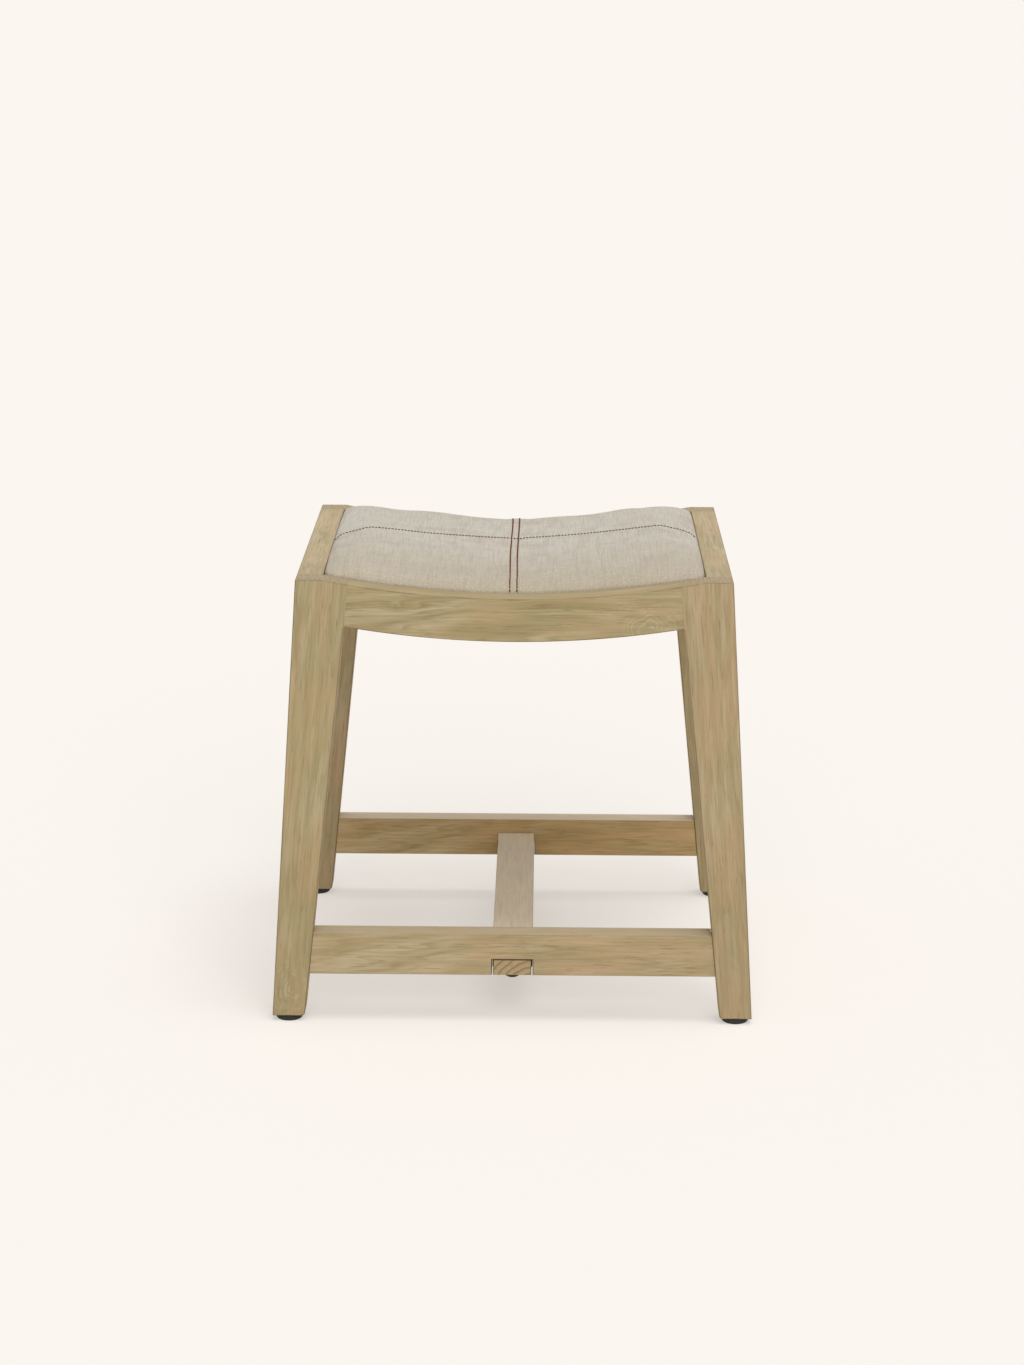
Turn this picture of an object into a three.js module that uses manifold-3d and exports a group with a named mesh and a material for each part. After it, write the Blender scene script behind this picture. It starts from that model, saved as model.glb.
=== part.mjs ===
// A low stool with four tapered legs that splay outwards, curved aprons, an H of stretchers
// and a padded canvas seat let into the frame. Sizes are in millimetres. +Z is up, the front is
// at -Y, left is at -X, and the origin is on the floor under the middle of the stool.

import * as THREE from "three";
import { mergeVertices } from "three/addons/utils/BufferGeometryUtils.js";
import Module from "manifold-3d";

const wasm = await Module();
wasm.setup();

// The frame as a whole
const frameHeight = 457;
const topWidth = 436;
const baseWidth = 490;
const topDepth = 381;
const baseDepth = 431;
const jointGap = 0.3;
const cutOverrun = 2;

// Legs
const legTopWidth = 53;
const legFootWidth = 33;
const endStock = 26;
const legToeRadius = 4;

// Feet under the legs
const footHeight = 5.5;
const footRadius = 13.5;
const footRimRadius = 1.8;
const footBoreDepth = 2.9;

// Aprons, with the saddle curve that their top edges follow between the side rails
const saddleSag = 18;
const apronHeight = 43.5;

// Side rails
const railThickness = 26.5;
const railHeight = 48;

// Stretchers
const stretcherUnderside = 50;
const stretcherHeight = 43;
const stretcherThickness = 24.5;
const stretcherRecess = 1.5;
const tenonLength = 20;
const tenonHeight = 30;
const tenonThickness = 9;

// Cross stretcher, whose ends are cut down to tongues under the two stretchers
const crossWidth = 41;
const crossHeight = 27;
const tongueWidth = 38.8;
const tongueHeight = 16.2;
const notchSideGap = 1.4;

// Bolts that hold the tongues from below
const boltHeadRadius = 8.8;
const boltHeadHeight = 5.5;
const boltShankRadius = 3;
const boltLength = 36;

// Dowels
const dowelRadius = 4;
const apronDowelLength = 40;
const railDowelLength = 36;
const railDowelBite = 15;
const dowelChamfer = 0.8;
const upperDowelDrop = 16;
const lowerDowelDrop = 33;

// Wood screws
const screwShankRadius = 1.9;
const screwHeadRadius = 3.8;
const screwHeadHeight = 1.9;
const footScrewLength = 24;
const blockScrewLength = 25;
const seatScrewLength = 22;
const screwBoreGap = 0.5;

// Corner blocks that carry the seat
const blockReach = 45;
const blockDrop = 47;
const blockNose = 5;
const blockScrewSetIn = 20;
const blockScrewRise = 5;
const blockScrewBite = 10;
const seatScrewSetIn = 13;
const seatScrewSink = 6;

// Seat
const seatGap = 0.6;
const padCornerRadius = 8;
const canvasThickness = 1;
const canvasTurnUnder = 30;
const boardThickness = 12;
const foamEdgeHeight = 14;
const crownHeight = 24;
const sideRoll = 40;
const endRoll = 100;
const seamDip = 2.6;
const seamDipReach = 60;

// Counts of facets
const roundSides = 12;
const boltSides = 24;
const footSides = 28;
const rimSteps = 4;
const arcSteps = 24;
const padColumns = 18;
const padRows = 12;

// Shape of a screw's pan head and point, as shares of its own sizes
const headCrownShare = 0.55;
const pointShare = 0.12;

// Finishes
const finishes = {
  wood: new THREE.MeshStandardMaterial({ color: 0xb3a27a, roughness: 0.72, metalness: 0 }),
  dowelWood: new THREE.MeshStandardMaterial({ color: 0xc9b58a, roughness: 0.8, metalness: 0 }),
  plywood: new THREE.MeshStandardMaterial({ color: 0xc2a67c, roughness: 0.8, metalness: 0 }),
  canvas: new THREE.MeshStandardMaterial({ color: 0xc8c1b4, roughness: 0.92, metalness: 0 }),
  foam: new THREE.MeshStandardMaterial({ color: 0xe9e0c4, roughness: 0.95, metalness: 0 }),
  rubber: new THREE.MeshStandardMaterial({ color: 0x1b1b1c, roughness: 0.7, metalness: 0 }),
  blackSteel: new THREE.MeshStandardMaterial({ color: 0x222224, roughness: 0.45, metalness: 0.9 }),
  zincSteel: new THREE.MeshStandardMaterial({ color: 0xb9bcc0, roughness: 0.35, metalness: 1 }),
};

// Leans of the outer faces, and where those faces lie at a height
const legLength = frameHeight - footHeight;
const sideLean = (baseWidth - topWidth) / 2 / legLength;
const endLean = (baseDepth - topDepth) / 2 / legLength;
const legTaper = (legTopWidth - legFootWidth) / legLength;

const outerX = (z) => topWidth / 2 + sideLean * (frameHeight - z);
const outerY = (z) => topDepth / 2 + endLean * (frameHeight - z);
const innerX = (z) => outerX(z) - legTopWidth + legTaper * (frameHeight - z);

// The well that the seat drops into, at the top of the frame
const wellX = topWidth / 2 - railThickness;
const wellY = topDepth / 2 - endStock;

// Underside of the corner blocks, which hang from the top of the frame
const blockUnderside = frameHeight - blockDrop;

// Height of the saddle curve: an arc between the side rails, level beyond them
const saddleRadius = (wellX * wellX + saddleSag * saddleSag) / (2 * saddleSag);
const saddleFloor = frameHeight - saddleSag;
const saddleArc = (x) => saddleFloor + saddleRadius - Math.sqrt(saddleRadius ** 2 - x * x);
const saddleZ = (x) => (Math.abs(x) < wellX ? saddleArc(x) : frameHeight);

// Joins and cuts closed geometries

function toSolid(geometry) {
  const bare = new THREE.BufferGeometry();
  bare.setAttribute("position", geometry.getAttribute("position").clone());
  if (geometry.index) bare.setIndex(geometry.index.clone());
  const merged = mergeVertices(bare);
  const corners = merged.index.array;
  const kept = [];
  for (let i = 0; i < corners.length; i += 3) {
    const [a, b, c] = corners.slice(i, i + 3);
    if (a !== b && b !== c && c !== a) kept.push(a, b, c);
  }
  const vertProperties = new Float32Array(merged.getAttribute("position").array);
  const mesh = new wasm.Mesh({ numProp: 3, vertProperties, triVerts: new Uint32Array(kept) });
  return new wasm.Manifold(mesh);
}

function toGeometry(solid) {
  const mesh = solid.getMesh();
  const geometry = new THREE.BufferGeometry();
  geometry.setAttribute("position", new THREE.BufferAttribute(mesh.vertProperties, 3));
  geometry.setIndex(new THREE.BufferAttribute(mesh.triVerts, 1));
  return geometry;
}

function cut(body, tools) {
  let solid = toSolid(body);
  for (const tool of tools) solid = solid.subtract(toSolid(tool));
  return toGeometry(solid);
}

function join(bodies) {
  const [first, ...others] = bodies.map(toSolid);
  return toGeometry(others.reduce((sum, solid) => sum.add(solid), first));
}

function common(first, second) {
  return toGeometry(toSolid(first).intersect(toSolid(second)));
}

const turned = (geometry) => geometry.clone().rotateZ(Math.PI);

// Basic shapes

const axisX = new THREE.Vector3(1, 0, 0);
const axisY = new THREE.Vector3(0, 1, 0);
const axisZ = new THREE.Vector3(0, 0, 1);

// Moves each point outwards by what the outer faces lean from the top of the frame down to it
function lean(geometry, sideX, sideY) {
  const place = geometry.getAttribute("position");
  for (let i = 0; i < place.count; i += 1) {
    const drop = frameHeight - place.getZ(i);
    place.setX(i, place.getX(i) + sideX * sideLean * drop);
    place.setY(i, place.getY(i) + sideY * endLean * drop);
  }
  return geometry;
}

function outline(points) {
  return new THREE.Shape(points.map(([a, b]) => new THREE.Vector2(a, b)));
}

function extrude(shape, depth) {
  const options = { depth, bevelEnabled: false, curveSegments: rimSteps };
  return new THREE.ExtrudeGeometry(shape, options);
}

// A board whose outline is drawn in X and Z, lying in the front frame behind its outer face
function frontBoard(shape, thickness, recess) {
  const board = extrude(shape, thickness).rotateX(Math.PI / 2);
  board.translate(0, thickness + recess - topDepth / 2, 0);
  return lean(board, 0, -1);
}

// A board whose outline is drawn in Y and Z, centred on X
function lengthwiseBoard(shape, width) {
  const board = extrude(shape, width);
  board.applyMatrix4(new THREE.Matrix4().makeBasis(axisY, axisZ, axisX));
  return board.translate(-width / 2, 0, 0);
}

// A round bar between two points, with chamfered ends where a chamfer is given
function bar(radius, from, to, chamfer = 0) {
  const length = from.distanceTo(to);
  const profile = [
    [0, 0],
    [radius - chamfer, 0],
    [radius, chamfer],
    [radius, length - chamfer],
    [radius - chamfer, length],
    [0, length],
  ];
  return stand(spun(profile, roundSides), from, to);
}

// A profile of radius and height, spun about its own axis; equal neighbours are left out
function spun(profile, sides) {
  const distinct = profile.filter(([r, h], i) => {
    const [lastR, lastH] = i ? profile[i - 1] : [];
    return r !== lastR || h !== lastH;
  });
  const points = distinct.map(([r, h]) => new THREE.Vector2(r, h));
  return new THREE.LatheGeometry(points, sides).rotateX(Math.PI / 2);
}

// Stands a spun piece on one point, pointing at another
function stand(piece, from, to) {
  const direction = to.clone().sub(from).normalize();
  piece.applyQuaternion(new THREE.Quaternion().setFromUnitVectors(axisZ, direction));
  return piece.translate(from.x, from.y, from.z);
}

// A wood screw whose head bears on the seat point; the shank runs on towards the aim point
function screwParts(seat, aim, length) {
  const tip = length * pointShare;
  const profile = [
    [0, -screwHeadHeight],
    [screwHeadRadius * headCrownShare, -screwHeadHeight],
    [screwHeadRadius, -screwHeadHeight * headCrownShare],
    [screwHeadRadius, 0],
    [screwShankRadius, 0],
    [screwShankRadius, length - tip],
    [0, length],
  ];
  return stand(spun(profile, roundSides), seat, aim);
}

// The hole for a screw: a clear bore for the shank and a wider one behind the head's seat
function screwHole(seat, aim, length, boreLength) {
  const direction = aim.clone().sub(seat).normalize();
  const end = seat.clone().addScaledVector(direction, length + jointGap);
  const mouth = seat.clone().addScaledVector(direction, -boreLength);
  const floor = seat.clone().addScaledVector(direction, jointGap);
  const shank = bar(screwShankRadius + jointGap, seat, end);
  return join([shank, bar(screwHeadRadius + screwBoreGap, mouth, floor)]);
}

// Fixings at one front corner. Each has its own shape and the hole that it sits in.

const point = (x, y, z) => new THREE.Vector3(x, y, z);

function dowel(name, from, to) {
  const axis = to.clone().sub(from).normalize().multiplyScalar(jointGap);
  const hole = bar(dowelRadius + jointGap, from.clone().sub(axis), to.clone().add(axis));
  return { name, shape: bar(dowelRadius, from, to, dowelChamfer), hole, finish: finishes.dowelWood };
}

function apronDowels(side) {
  return [upperDowelDrop, lowerDowelDrop].map((drop, i) => {
    const z = frameHeight - drop;
    const y = endStock / 2 - outerY(z);
    const middle = side * innerX(z);
    const from = point(middle - apronDowelLength / 2, y, z);
    const to = point(middle + apronDowelLength / 2, y, z);
    return dowel(`apron_dowel_${i ? "lower" : "upper"}`, from, to);
  });
}

function railDowels(side) {
  return [upperDowelDrop, lowerDowelDrop].map((drop, i) => {
    const z = frameHeight - drop;
    const x = side * (outerX(z) - railThickness / 2);
    const face = endStock - outerY(z);
    const from = point(x, face - railDowelBite, z);
    const to = point(x, face - railDowelBite + railDowelLength, z);
    return dowel(`rail_dowel_${i ? "lower" : "upper"}`, from, to);
  });
}

function blockScrews(side) {
  const z = blockUnderside + blockScrewRise;
  const railFace = side * (outerX(z) - railThickness);
  const legFace = endStock - outerY(z);
  const railSeat = point(railFace - side * blockScrewBite, legFace + blockScrewSetIn, z);
  const legSeat = point(railFace - side * blockScrewSetIn, legFace + blockScrewBite, z);
  const runs = [
    ["block_rail_screw", railSeat, railSeat.clone().setX(railFace)],
    ["block_leg_screw", legSeat, legSeat.clone().setY(legFace)],
  ];
  return runs.map(([name, seat, aim]) => ({
    name,
    shape: screwParts(seat, aim, blockScrewLength),
    hole: screwHole(seat, aim, blockScrewLength, blockReach),
    finish: finishes.zincSteel,
  }));
}

function seatScrew(side) {
  const z = blockUnderside + seatScrewSink;
  const x = side * (outerX(z) - railThickness - seatScrewSetIn);
  const seat = point(x, endStock - outerY(z) + seatScrewSetIn, z);
  const aim = point(seat.x, seat.y, frameHeight);
  return {
    name: "seat_screw",
    shape: screwParts(seat, aim, seatScrewLength),
    hole: screwHole(seat, aim, seatScrewLength, seatScrewSink + cutOverrun),
    finish: finishes.zincSteel,
  };
}

const footCentre = (side) => {
  const x = (side * (outerX(footHeight) + innerX(footHeight))) / 2;
  return point(x, endStock / 2 - outerY(footHeight), 0);
};

function footScrew(side) {
  const centre = footCentre(side);
  const seat = centre.clone().setZ(footBoreDepth - jointGap);
  const aim = centre.clone().setZ(footHeight);
  return {
    name: "foot_screw",
    shape: screwParts(seat, aim, footScrewLength),
    hole: screwHole(seat, aim, footScrewLength, footBoreDepth),
    finish: finishes.zincSteel,
  };
}

const cornerFixings = (side) => [
  ...apronDowels(side),
  ...railDowels(side),
  ...blockScrews(side),
  seatScrew(side),
  footScrew(side),
];
const leftFixings = cornerFixings(-1);
const rightFixings = cornerFixings(1);
const holesOf = (fixings) => fixings.map((fixing) => fixing.hole);
const holesAt = (side) => holesOf(side < 0 ? leftFixings : rightFixings);
const allFrontHoles = [...holesAt(-1), ...holesAt(1)];
const allHoles = [...allFrontHoles, ...allFrontHoles.map(turned)];

// Legs, with mortises for the stretchers' tenons

// Where a leg's inner edge meets the saddle curve
function legShoulderX() {
  let x = innerX(frameHeight);
  for (let i = 0; i < arcSteps; i += 1) x = innerX(saddleZ(x));
  return x;
}

function saddlePoints(fromX, toX, offset = 0) {
  const points = [];
  for (let i = 0; i <= arcSteps; i += 1) {
    const x = THREE.MathUtils.lerp(fromX, toX, i / arcSteps);
    points.push([x, saddleZ(x) + offset]);
  }
  return points;
}

function leg(side) {
  const shoulder = legShoulderX();
  const toe = innerX(footHeight);
  const shape = new THREE.Shape();
  shape.moveTo(side * outerX(footHeight), footHeight);
  shape.lineTo(side * outerX(frameHeight), frameHeight);
  for (const [x, z] of saddlePoints(wellX, shoulder)) shape.lineTo(side * x, z);
  const toeTop = footHeight + legToeRadius;
  shape.lineTo(side * innerX(toeTop), toeTop);
  shape.quadraticCurveTo(side * toe, footHeight, side * (toe + legToeRadius), footHeight);
  const body = frontBoard(shape, endStock, 0);
  return cut(body, [...holesAt(side), tenon(side, jointGap)]);
}

// Stretchers between the legs

function tenon(side, allowance) {
  const middle = stretcherUnderside + stretcherHeight / 2;
  const low = middle - tenonHeight / 2 - allowance;
  const high = middle + tenonHeight / 2 + allowance;
  const root = (z) => side * (innerX(z) - cutOverrun);
  const end = side * (innerX(middle) + tenonLength + allowance);
  const shape = outline([[root(low), low], [end, low], [end, high], [root(high), high]]);
  const thickness = tenonThickness + 2 * allowance;
  return frontBoard(shape, thickness, stretcherRecess + (stretcherThickness - thickness) / 2);
}

function notch() {
  const halfWidth = tongueWidth / 2 + notchSideGap;
  const low = stretcherUnderside - cutOverrun;
  const high = stretcherUnderside + tongueHeight + jointGap;
  const shape = outline([[-halfWidth, low], [halfWidth, low], [halfWidth, high], [-halfWidth, high]]);
  const thickness = stretcherThickness + 2 * cutOverrun;
  return frontBoard(shape, thickness, stretcherRecess - cutOverrun);
}

function stretcher() {
  const low = stretcherUnderside;
  const high = stretcherUnderside + stretcherHeight;
  const lowX = innerX(low) - jointGap;
  const highX = innerX(high) - jointGap;
  const shape = outline([[-lowX, low], [lowX, low], [highX, high], [-highX, high]]);
  const body = frontBoard(shape, stretcherThickness, stretcherRecess);
  return cut(join([body, tenon(-1, 0), tenon(1, 0)]), [notch(), lapBoltHole()]);
}

const stretcherFaceY = (z) => stretcherRecess - outerY(z);

function crossStretcher() {
  const low = stretcherUnderside;
  const step = low + tongueHeight;
  const high = low + crossHeight;
  const tipY = (z) => stretcherFaceY(z) + jointGap;
  const shoulderY = (z) => stretcherFaceY(z) + stretcherThickness + jointGap;
  const plank = (endY, top, width) => {
    const corners = [[endY(low), low], [-endY(low), low], [-endY(top), top], [endY(top), top]];
    return lengthwiseBoard(outline(corners), width);
  };
  const body = join([plank(shoulderY, high, crossWidth), plank(tipY, step, tongueWidth)]);
  return cut(body, [lapBoltHole(), turned(lapBoltHole())]);
}

// Bolts under the tongues

const boltSeat = () => {
  const y = stretcherFaceY(stretcherUnderside) + stretcherThickness / 2;
  return point(0, y, stretcherUnderside - jointGap);
};

function lapBolt() {
  const profile = [[0, -boltHeadHeight]];
  for (let i = 1; i <= rimSteps; i += 1) {
    const angle = ((Math.PI / 2) * i) / rimSteps;
    profile.push([boltHeadRadius * Math.sin(angle), -boltHeadHeight * Math.cos(angle)]);
  }
  profile[rimSteps][1] = 0;
  profile.push([boltShankRadius, 0], [boltShankRadius, boltLength], [0, boltLength]);
  return stand(spun(profile, boltSides), boltSeat(), boltSeat().add(axisZ));
}

function lapBoltHole() {
  const low = boltSeat();
  const high = low.clone().setZ(low.z + boltLength + jointGap);
  low.z -= cutOverrun;
  return bar(boltShankRadius + jointGap, low, high);
}

// Aprons, whose lower edge runs under the saddle curve

function apron() {
  const shoulder = legShoulderX();
  const top = saddlePoints(-shoulder + jointGap, shoulder - jointGap);
  let foot = shoulder;
  for (let i = 0; i < arcSteps; i += 1) foot = innerX(saddleZ(foot) - apronHeight);
  const bottom = saddlePoints(foot - jointGap, -foot + jointGap, -apronHeight);
  return cut(frontBoard(outline([...top, ...bottom]), endStock, 0), allFrontHoles);
}

// Side rails, whose outer faces lean with the legs

function sideRail(side) {
  const low = frameHeight - railHeight;
  const endY = (z) => outerY(z) - endStock - jointGap;
  const shape = outline([
    [-endY(low), low],
    [endY(low), low],
    [endY(frameHeight), frameHeight],
    [-endY(frameHeight), frameHeight],
  ]);
  const body = lengthwiseBoard(shape, railThickness);
  body.translate(side * (topWidth / 2 - railThickness / 2), 0, 0);
  lean(body, side, 0);
  return cut(body, [...holesAt(side), ...holesAt(-side).map(turned)]);
}

// Corner blocks, planed on top to the curve of the seat

function cornerBlock(side) {
  const near = jointGap;
  const far = blockReach;
  const corners = [[near, near], [far, near], [far, near + blockNose], [near + blockNose, far], [near, far]];
  const shape = outline(corners.map(([a, b]) => [side * (wellX - a), b - wellY]));
  const body = extrude(shape, frameHeight - blockUnderside).translate(0, 0, blockUnderside);
  lean(body, side, -1);
  return cut(body, [seatUnderCut(), ...holesAt(side)]);
}

// Feet

function foot(side) {
  const top = footHeight - jointGap;
  const holeRadius = screwShankRadius + jointGap;
  const boreRadius = screwHeadRadius + screwBoreGap;
  const profile = [[holeRadius, footBoreDepth], [boreRadius, footBoreDepth], [boreRadius, 0]];
  for (let i = 0; i <= rimSteps; i += 1) {
    const angle = ((Math.PI / 2) * i) / rimSteps;
    const radius = footRadius - footRimRadius * (1 - Math.sin(angle));
    profile.push([radius, footRimRadius * (1 - Math.cos(angle))]);
  }
  profile.push([footRadius, top], [holeRadius, top], [holeRadius, footBoreDepth]);
  const centre = footCentre(side);
  return stand(spun(profile, footSides), centre, centre.clone().add(axisZ));
}

// The seat: a bent board, a crowned foam pad and a canvas cover drawn round both

// Rise of the pad at a distance from its edge: a quarter of an ellipse, then level
function roll(distance, reach) {
  const rest = Math.max(0, 1 - distance / reach);
  return Math.sqrt(Math.max(0, 1 - rest * rest));
}

function crown(x, y, halfX, halfY) {
  const seam = Math.max(0, 1 - Math.abs(x) / seamDipReach) ** 2 * seamDip;
  const height = crownHeight - seam;
  return height * roll(halfX - Math.abs(x), sideRoll) * roll(halfY - Math.abs(y), endRoll);
}

// A closed body over a rectangle between two heights, with its rows closer near the edges
function padBody(halfX, halfY, lowZ, highZ) {
  const spread = (i, count) => -Math.cos((Math.PI * i) / count);
  const across = padColumns + 1;
  const level = across * (padRows + 1);
  const places = [];
  for (const height of [highZ, lowZ]) {
    for (let row = 0; row <= padRows; row += 1) {
      for (let column = 0; column <= padColumns; column += 1) {
        const x = halfX * spread(column, padColumns);
        const y = halfY * spread(row, padRows);
        places.push(x, y, height(x, y));
      }
    }
  }
  const faces = [];
  const quad = (a, b, c, d) => faces.push(a, b, c, a, c, d);
  for (let row = 0; row < padRows; row += 1) {
    for (let column = 0; column < padColumns; column += 1) {
      const a = row * across + column;
      quad(a, a + 1, a + 1 + across, a + across);
      quad(level + a, level + a + across, level + a + 1 + across, level + a + 1);
    }
  }
  const wall = (a, b) => quad(b, a, a + level, b + level);
  for (let column = 0; column < padColumns; column += 1) {
    const last = padRows * across + column;
    wall(column, column + 1);
    wall(last + 1, last);
  }
  for (let row = 0; row < padRows; row += 1) {
    const a = row * across;
    wall(a + across, a);
    wall(a + padColumns, a + padColumns + across);
  }
  const geometry = new THREE.BufferGeometry();
  geometry.setAttribute("position", new THREE.Float32BufferAttribute(places, 3));
  geometry.setIndex(faces);
  return geometry;
}

// A strip between two curves drawn over X, as wide along Y everywhere
function bentStrip(halfX, halfY, lowZ, highZ) {
  const places = [];
  for (let i = 0; i <= arcSteps; i += 1) places.push(THREE.MathUtils.lerp(-halfX, halfX, i / arcSteps));
  const low = places.map((x) => [x, lowZ(x)]);
  const high = places.map((x) => [x, highZ(x)]).reverse();
  return extrude(outline([...low, ...high]), 2 * halfY).rotateX(Math.PI / 2).translate(0, halfY, 0);
}

// An upright block with rounded corners, tall enough to cut the whole seat
function roundedPlan(halfX, halfY, radius) {
  const shape = new THREE.Shape();
  shape.moveTo(radius - halfX, -halfY);
  shape.lineTo(halfX - radius, -halfY);
  shape.absarc(halfX - radius, radius - halfY, radius, -Math.PI / 2, 0);
  shape.absarc(halfX - radius, halfY - radius, radius, 0, Math.PI / 2);
  shape.absarc(radius - halfX, halfY - radius, radius, Math.PI / 2, Math.PI);
  shape.absarc(radius - halfX, radius - halfY, radius, Math.PI, (3 * Math.PI) / 2);
  return extrude(shape, frameHeight + crownHeight);
}

// Half sizes of the canvas outside, its inside, and what it holds
const coverX = wellX - seatGap;
const coverY = wellY - seatGap;
const innerInset = canvasThickness;
const boardInset = canvasThickness + jointGap;
const boardTop = (x) => saddleArc(x) - foamEdgeHeight;
const boardUnder = (x) => boardTop(x) - boardThickness;
const coverUnder = (x) => boardUnder(x) - boardInset;

const planAt = (inset) => roundedPlan(coverX - inset, coverY - inset, padCornerRadius - inset);

function padPart(inset, lowZ, highZ) {
  return common(padBody(coverX - inset, coverY - inset, lowZ, highZ), planAt(inset));
}

const crownZ = (inset) => (x, y) => saddleArc(x) + crown(x, y, coverX - inset, coverY - inset) - inset;

function seatBoard() {
  const strip = bentStrip(coverX - boardInset, coverY - boardInset, boardUnder, boardTop);
  return cut(common(strip, planAt(boardInset)), allHoles);
}

function seatFoam() {
  return padPart(boardInset, (x) => boardTop(x) + jointGap, crownZ(boardInset));
}

function seatCover() {
  const outside = padPart(0, coverUnder, crownZ(0));
  const inside = padPart(innerInset, (x) => boardUnder(x) - jointGap, crownZ(innerInset));
  const mouthUnder = (x) => coverUnder(x) - cutOverrun;
  const mouth = bentStrip(coverX - canvasTurnUnder, coverY - canvasTurnUnder, mouthUnder, boardUnder);
  return cut(outside, [inside, mouth, ...allHoles]);
}

// The room that the seat takes over the corner blocks
function seatUnderCut() {
  const under = (x) => coverUnder(x) - jointGap;
  return bentStrip(topWidth / 2, topDepth / 2, under, () => frameHeight + cutOverrun);
}

// Assembly

const stool = new THREE.Group();

function add(parent, name, geometry, finish) {
  geometry.computeVertexNormals();
  const mesh = new THREE.Mesh(geometry, finish);
  mesh.name = name;
  parent.add(mesh);
}

// The rear frame is the front frame turned half round, so its left and right change places
for (const end of ["front", "rear"]) {
  const frame = new THREE.Group();
  frame.rotation.z = end === "front" ? 0 : Math.PI;
  stool.add(frame);
  add(frame, `${end}_apron`, apron(), finishes.wood);
  add(frame, `${end}_stretcher`, stretcher(), finishes.wood);
  add(frame, `${end}_lap_bolt`, lapBolt(), finishes.blackSteel);
  for (const side of [-1, 1]) {
    const isLeft = (side < 0) === (end === "front");
    const corner = `${end}_${isLeft ? "left" : "right"}`;
    add(frame, `${corner}_leg`, leg(side), finishes.wood);
    add(frame, `${corner}_foot`, foot(side), finishes.rubber);
    add(frame, `${corner}_corner_block`, cornerBlock(side), finishes.dowelWood);
    for (const fixing of side < 0 ? leftFixings : rightFixings) {
      add(frame, `${corner}_${fixing.name}`, fixing.shape.clone(), fixing.finish);
    }
  }
}

add(stool, "left_side_rail", sideRail(-1), finishes.wood);
add(stool, "right_side_rail", sideRail(1), finishes.wood);
add(stool, "cross_stretcher", crossStretcher(), finishes.wood);
add(stool, "seat_board", seatBoard(), finishes.plywood);
add(stool, "seat_foam", seatFoam(), finishes.foam);
add(stool, "seat_cover", seatCover(), finishes.canvas);

export default stool;
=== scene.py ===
"""Looks for a low wooden stool with a padded canvas saddle seat.

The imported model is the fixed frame. Sizes are in metres. +Z is up, the front is at -Y, left is at
-X, and the origin is on the floor under the middle of the stool.
"""

from __future__ import annotations

import logging
import math
from collections.abc import Callable
from dataclasses import dataclass
from enum import Enum

import bmesh
import bpy
from mathutils import Euler, Matrix, Vector, noise
from mathutils.bvhtree import BVHTree


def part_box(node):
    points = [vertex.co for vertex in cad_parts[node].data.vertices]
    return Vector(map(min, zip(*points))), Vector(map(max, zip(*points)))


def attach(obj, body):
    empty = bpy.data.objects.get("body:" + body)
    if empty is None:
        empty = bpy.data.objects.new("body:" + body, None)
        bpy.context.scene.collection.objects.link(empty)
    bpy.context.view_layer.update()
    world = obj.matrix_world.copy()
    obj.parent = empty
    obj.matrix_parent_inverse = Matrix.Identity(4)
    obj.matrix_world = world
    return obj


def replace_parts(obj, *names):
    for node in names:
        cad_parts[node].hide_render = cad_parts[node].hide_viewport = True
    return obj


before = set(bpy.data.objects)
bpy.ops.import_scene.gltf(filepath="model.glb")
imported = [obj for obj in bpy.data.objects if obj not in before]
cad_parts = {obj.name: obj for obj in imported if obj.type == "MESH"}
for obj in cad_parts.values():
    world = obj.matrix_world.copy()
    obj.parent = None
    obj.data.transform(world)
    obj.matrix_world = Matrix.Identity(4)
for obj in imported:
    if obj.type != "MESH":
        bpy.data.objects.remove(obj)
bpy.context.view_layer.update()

LOG = logging.getLogger("stool")
MM = 0.001

# Sizes of the frame that more than one piece follows
FRAME_HEIGHT = 457 * MM
TOP_WIDTH = 436 * MM
TOP_DEPTH = 381 * MM
BASE_DEPTH = 431 * MM
END_STOCK = 26 * MM
RAIL_THICKNESS = 26.5 * MM
SADDLE_SAG = 18 * MM

# The well that the seat lies in, and how far the two ends of the stool lean outwards
WELL_X = TOP_WIDTH / 2 - RAIL_THICKNESS
WELL_Y = TOP_DEPTH / 2 - END_STOCK
SADDLE_RADIUS = (WELL_X**2 + SADDLE_SAG**2) / (2 * SADDLE_SAG)
LEAN = (BASE_DEPTH - TOP_DEPTH) / 2 / FRAME_HEIGHT

# How near a neighbour an edge stays crisp, glued or only touching, and is darkened at the joint
# with a dark line and painted shade
GLUED = 0.8 * MM
TOUCHING = 0.2 * MM
JOINT_REACH = 2.2 * MM
# An edge that turns by less than this isn't eased
CREASE = math.radians(40)
# The part of a glued board, from its end, that reaches on into the frame's joint gap
END_REACH = 6 * MM

UP, RIGHT, BACK = (0.0, 0.0, 1.0), (1.0, 0.0, 0.0), (0.0, 1.0, 0.0)
# Heights over the floor above the seat and below it, to look at the seat from
HIGH_ABOVE, FAR_BELOW = 0.6, 0.3
CORNERS = ("front_left", "front_right", "rear_left", "rear_right")


def saddle(x: float) -> float:
    """Give the height of the saddle curve over the well at a place across it.

    Args:
        x: Distance from the middle of the stool.

    Returns:
        The height of the curve above the floor.
    """
    reach = min(abs(x), WELL_X)
    return FRAME_HEIGHT - SADDLE_SAG + SADDLE_RADIUS - math.sqrt(SADDLE_RADIUS**2 - reach**2)


# Small helpers for materials

# What can go into a node: a number, a colour, a place, a socket, or a node for its first output
Feed = object
Size = tuple[float, float, float]
SMOOTH = {"interpolation_type": "SMOOTHSTEP"}
COLOURS = {"data_type": "RGBA"}
PLACES = {"vector_type": "TEXTURE"}


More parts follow.
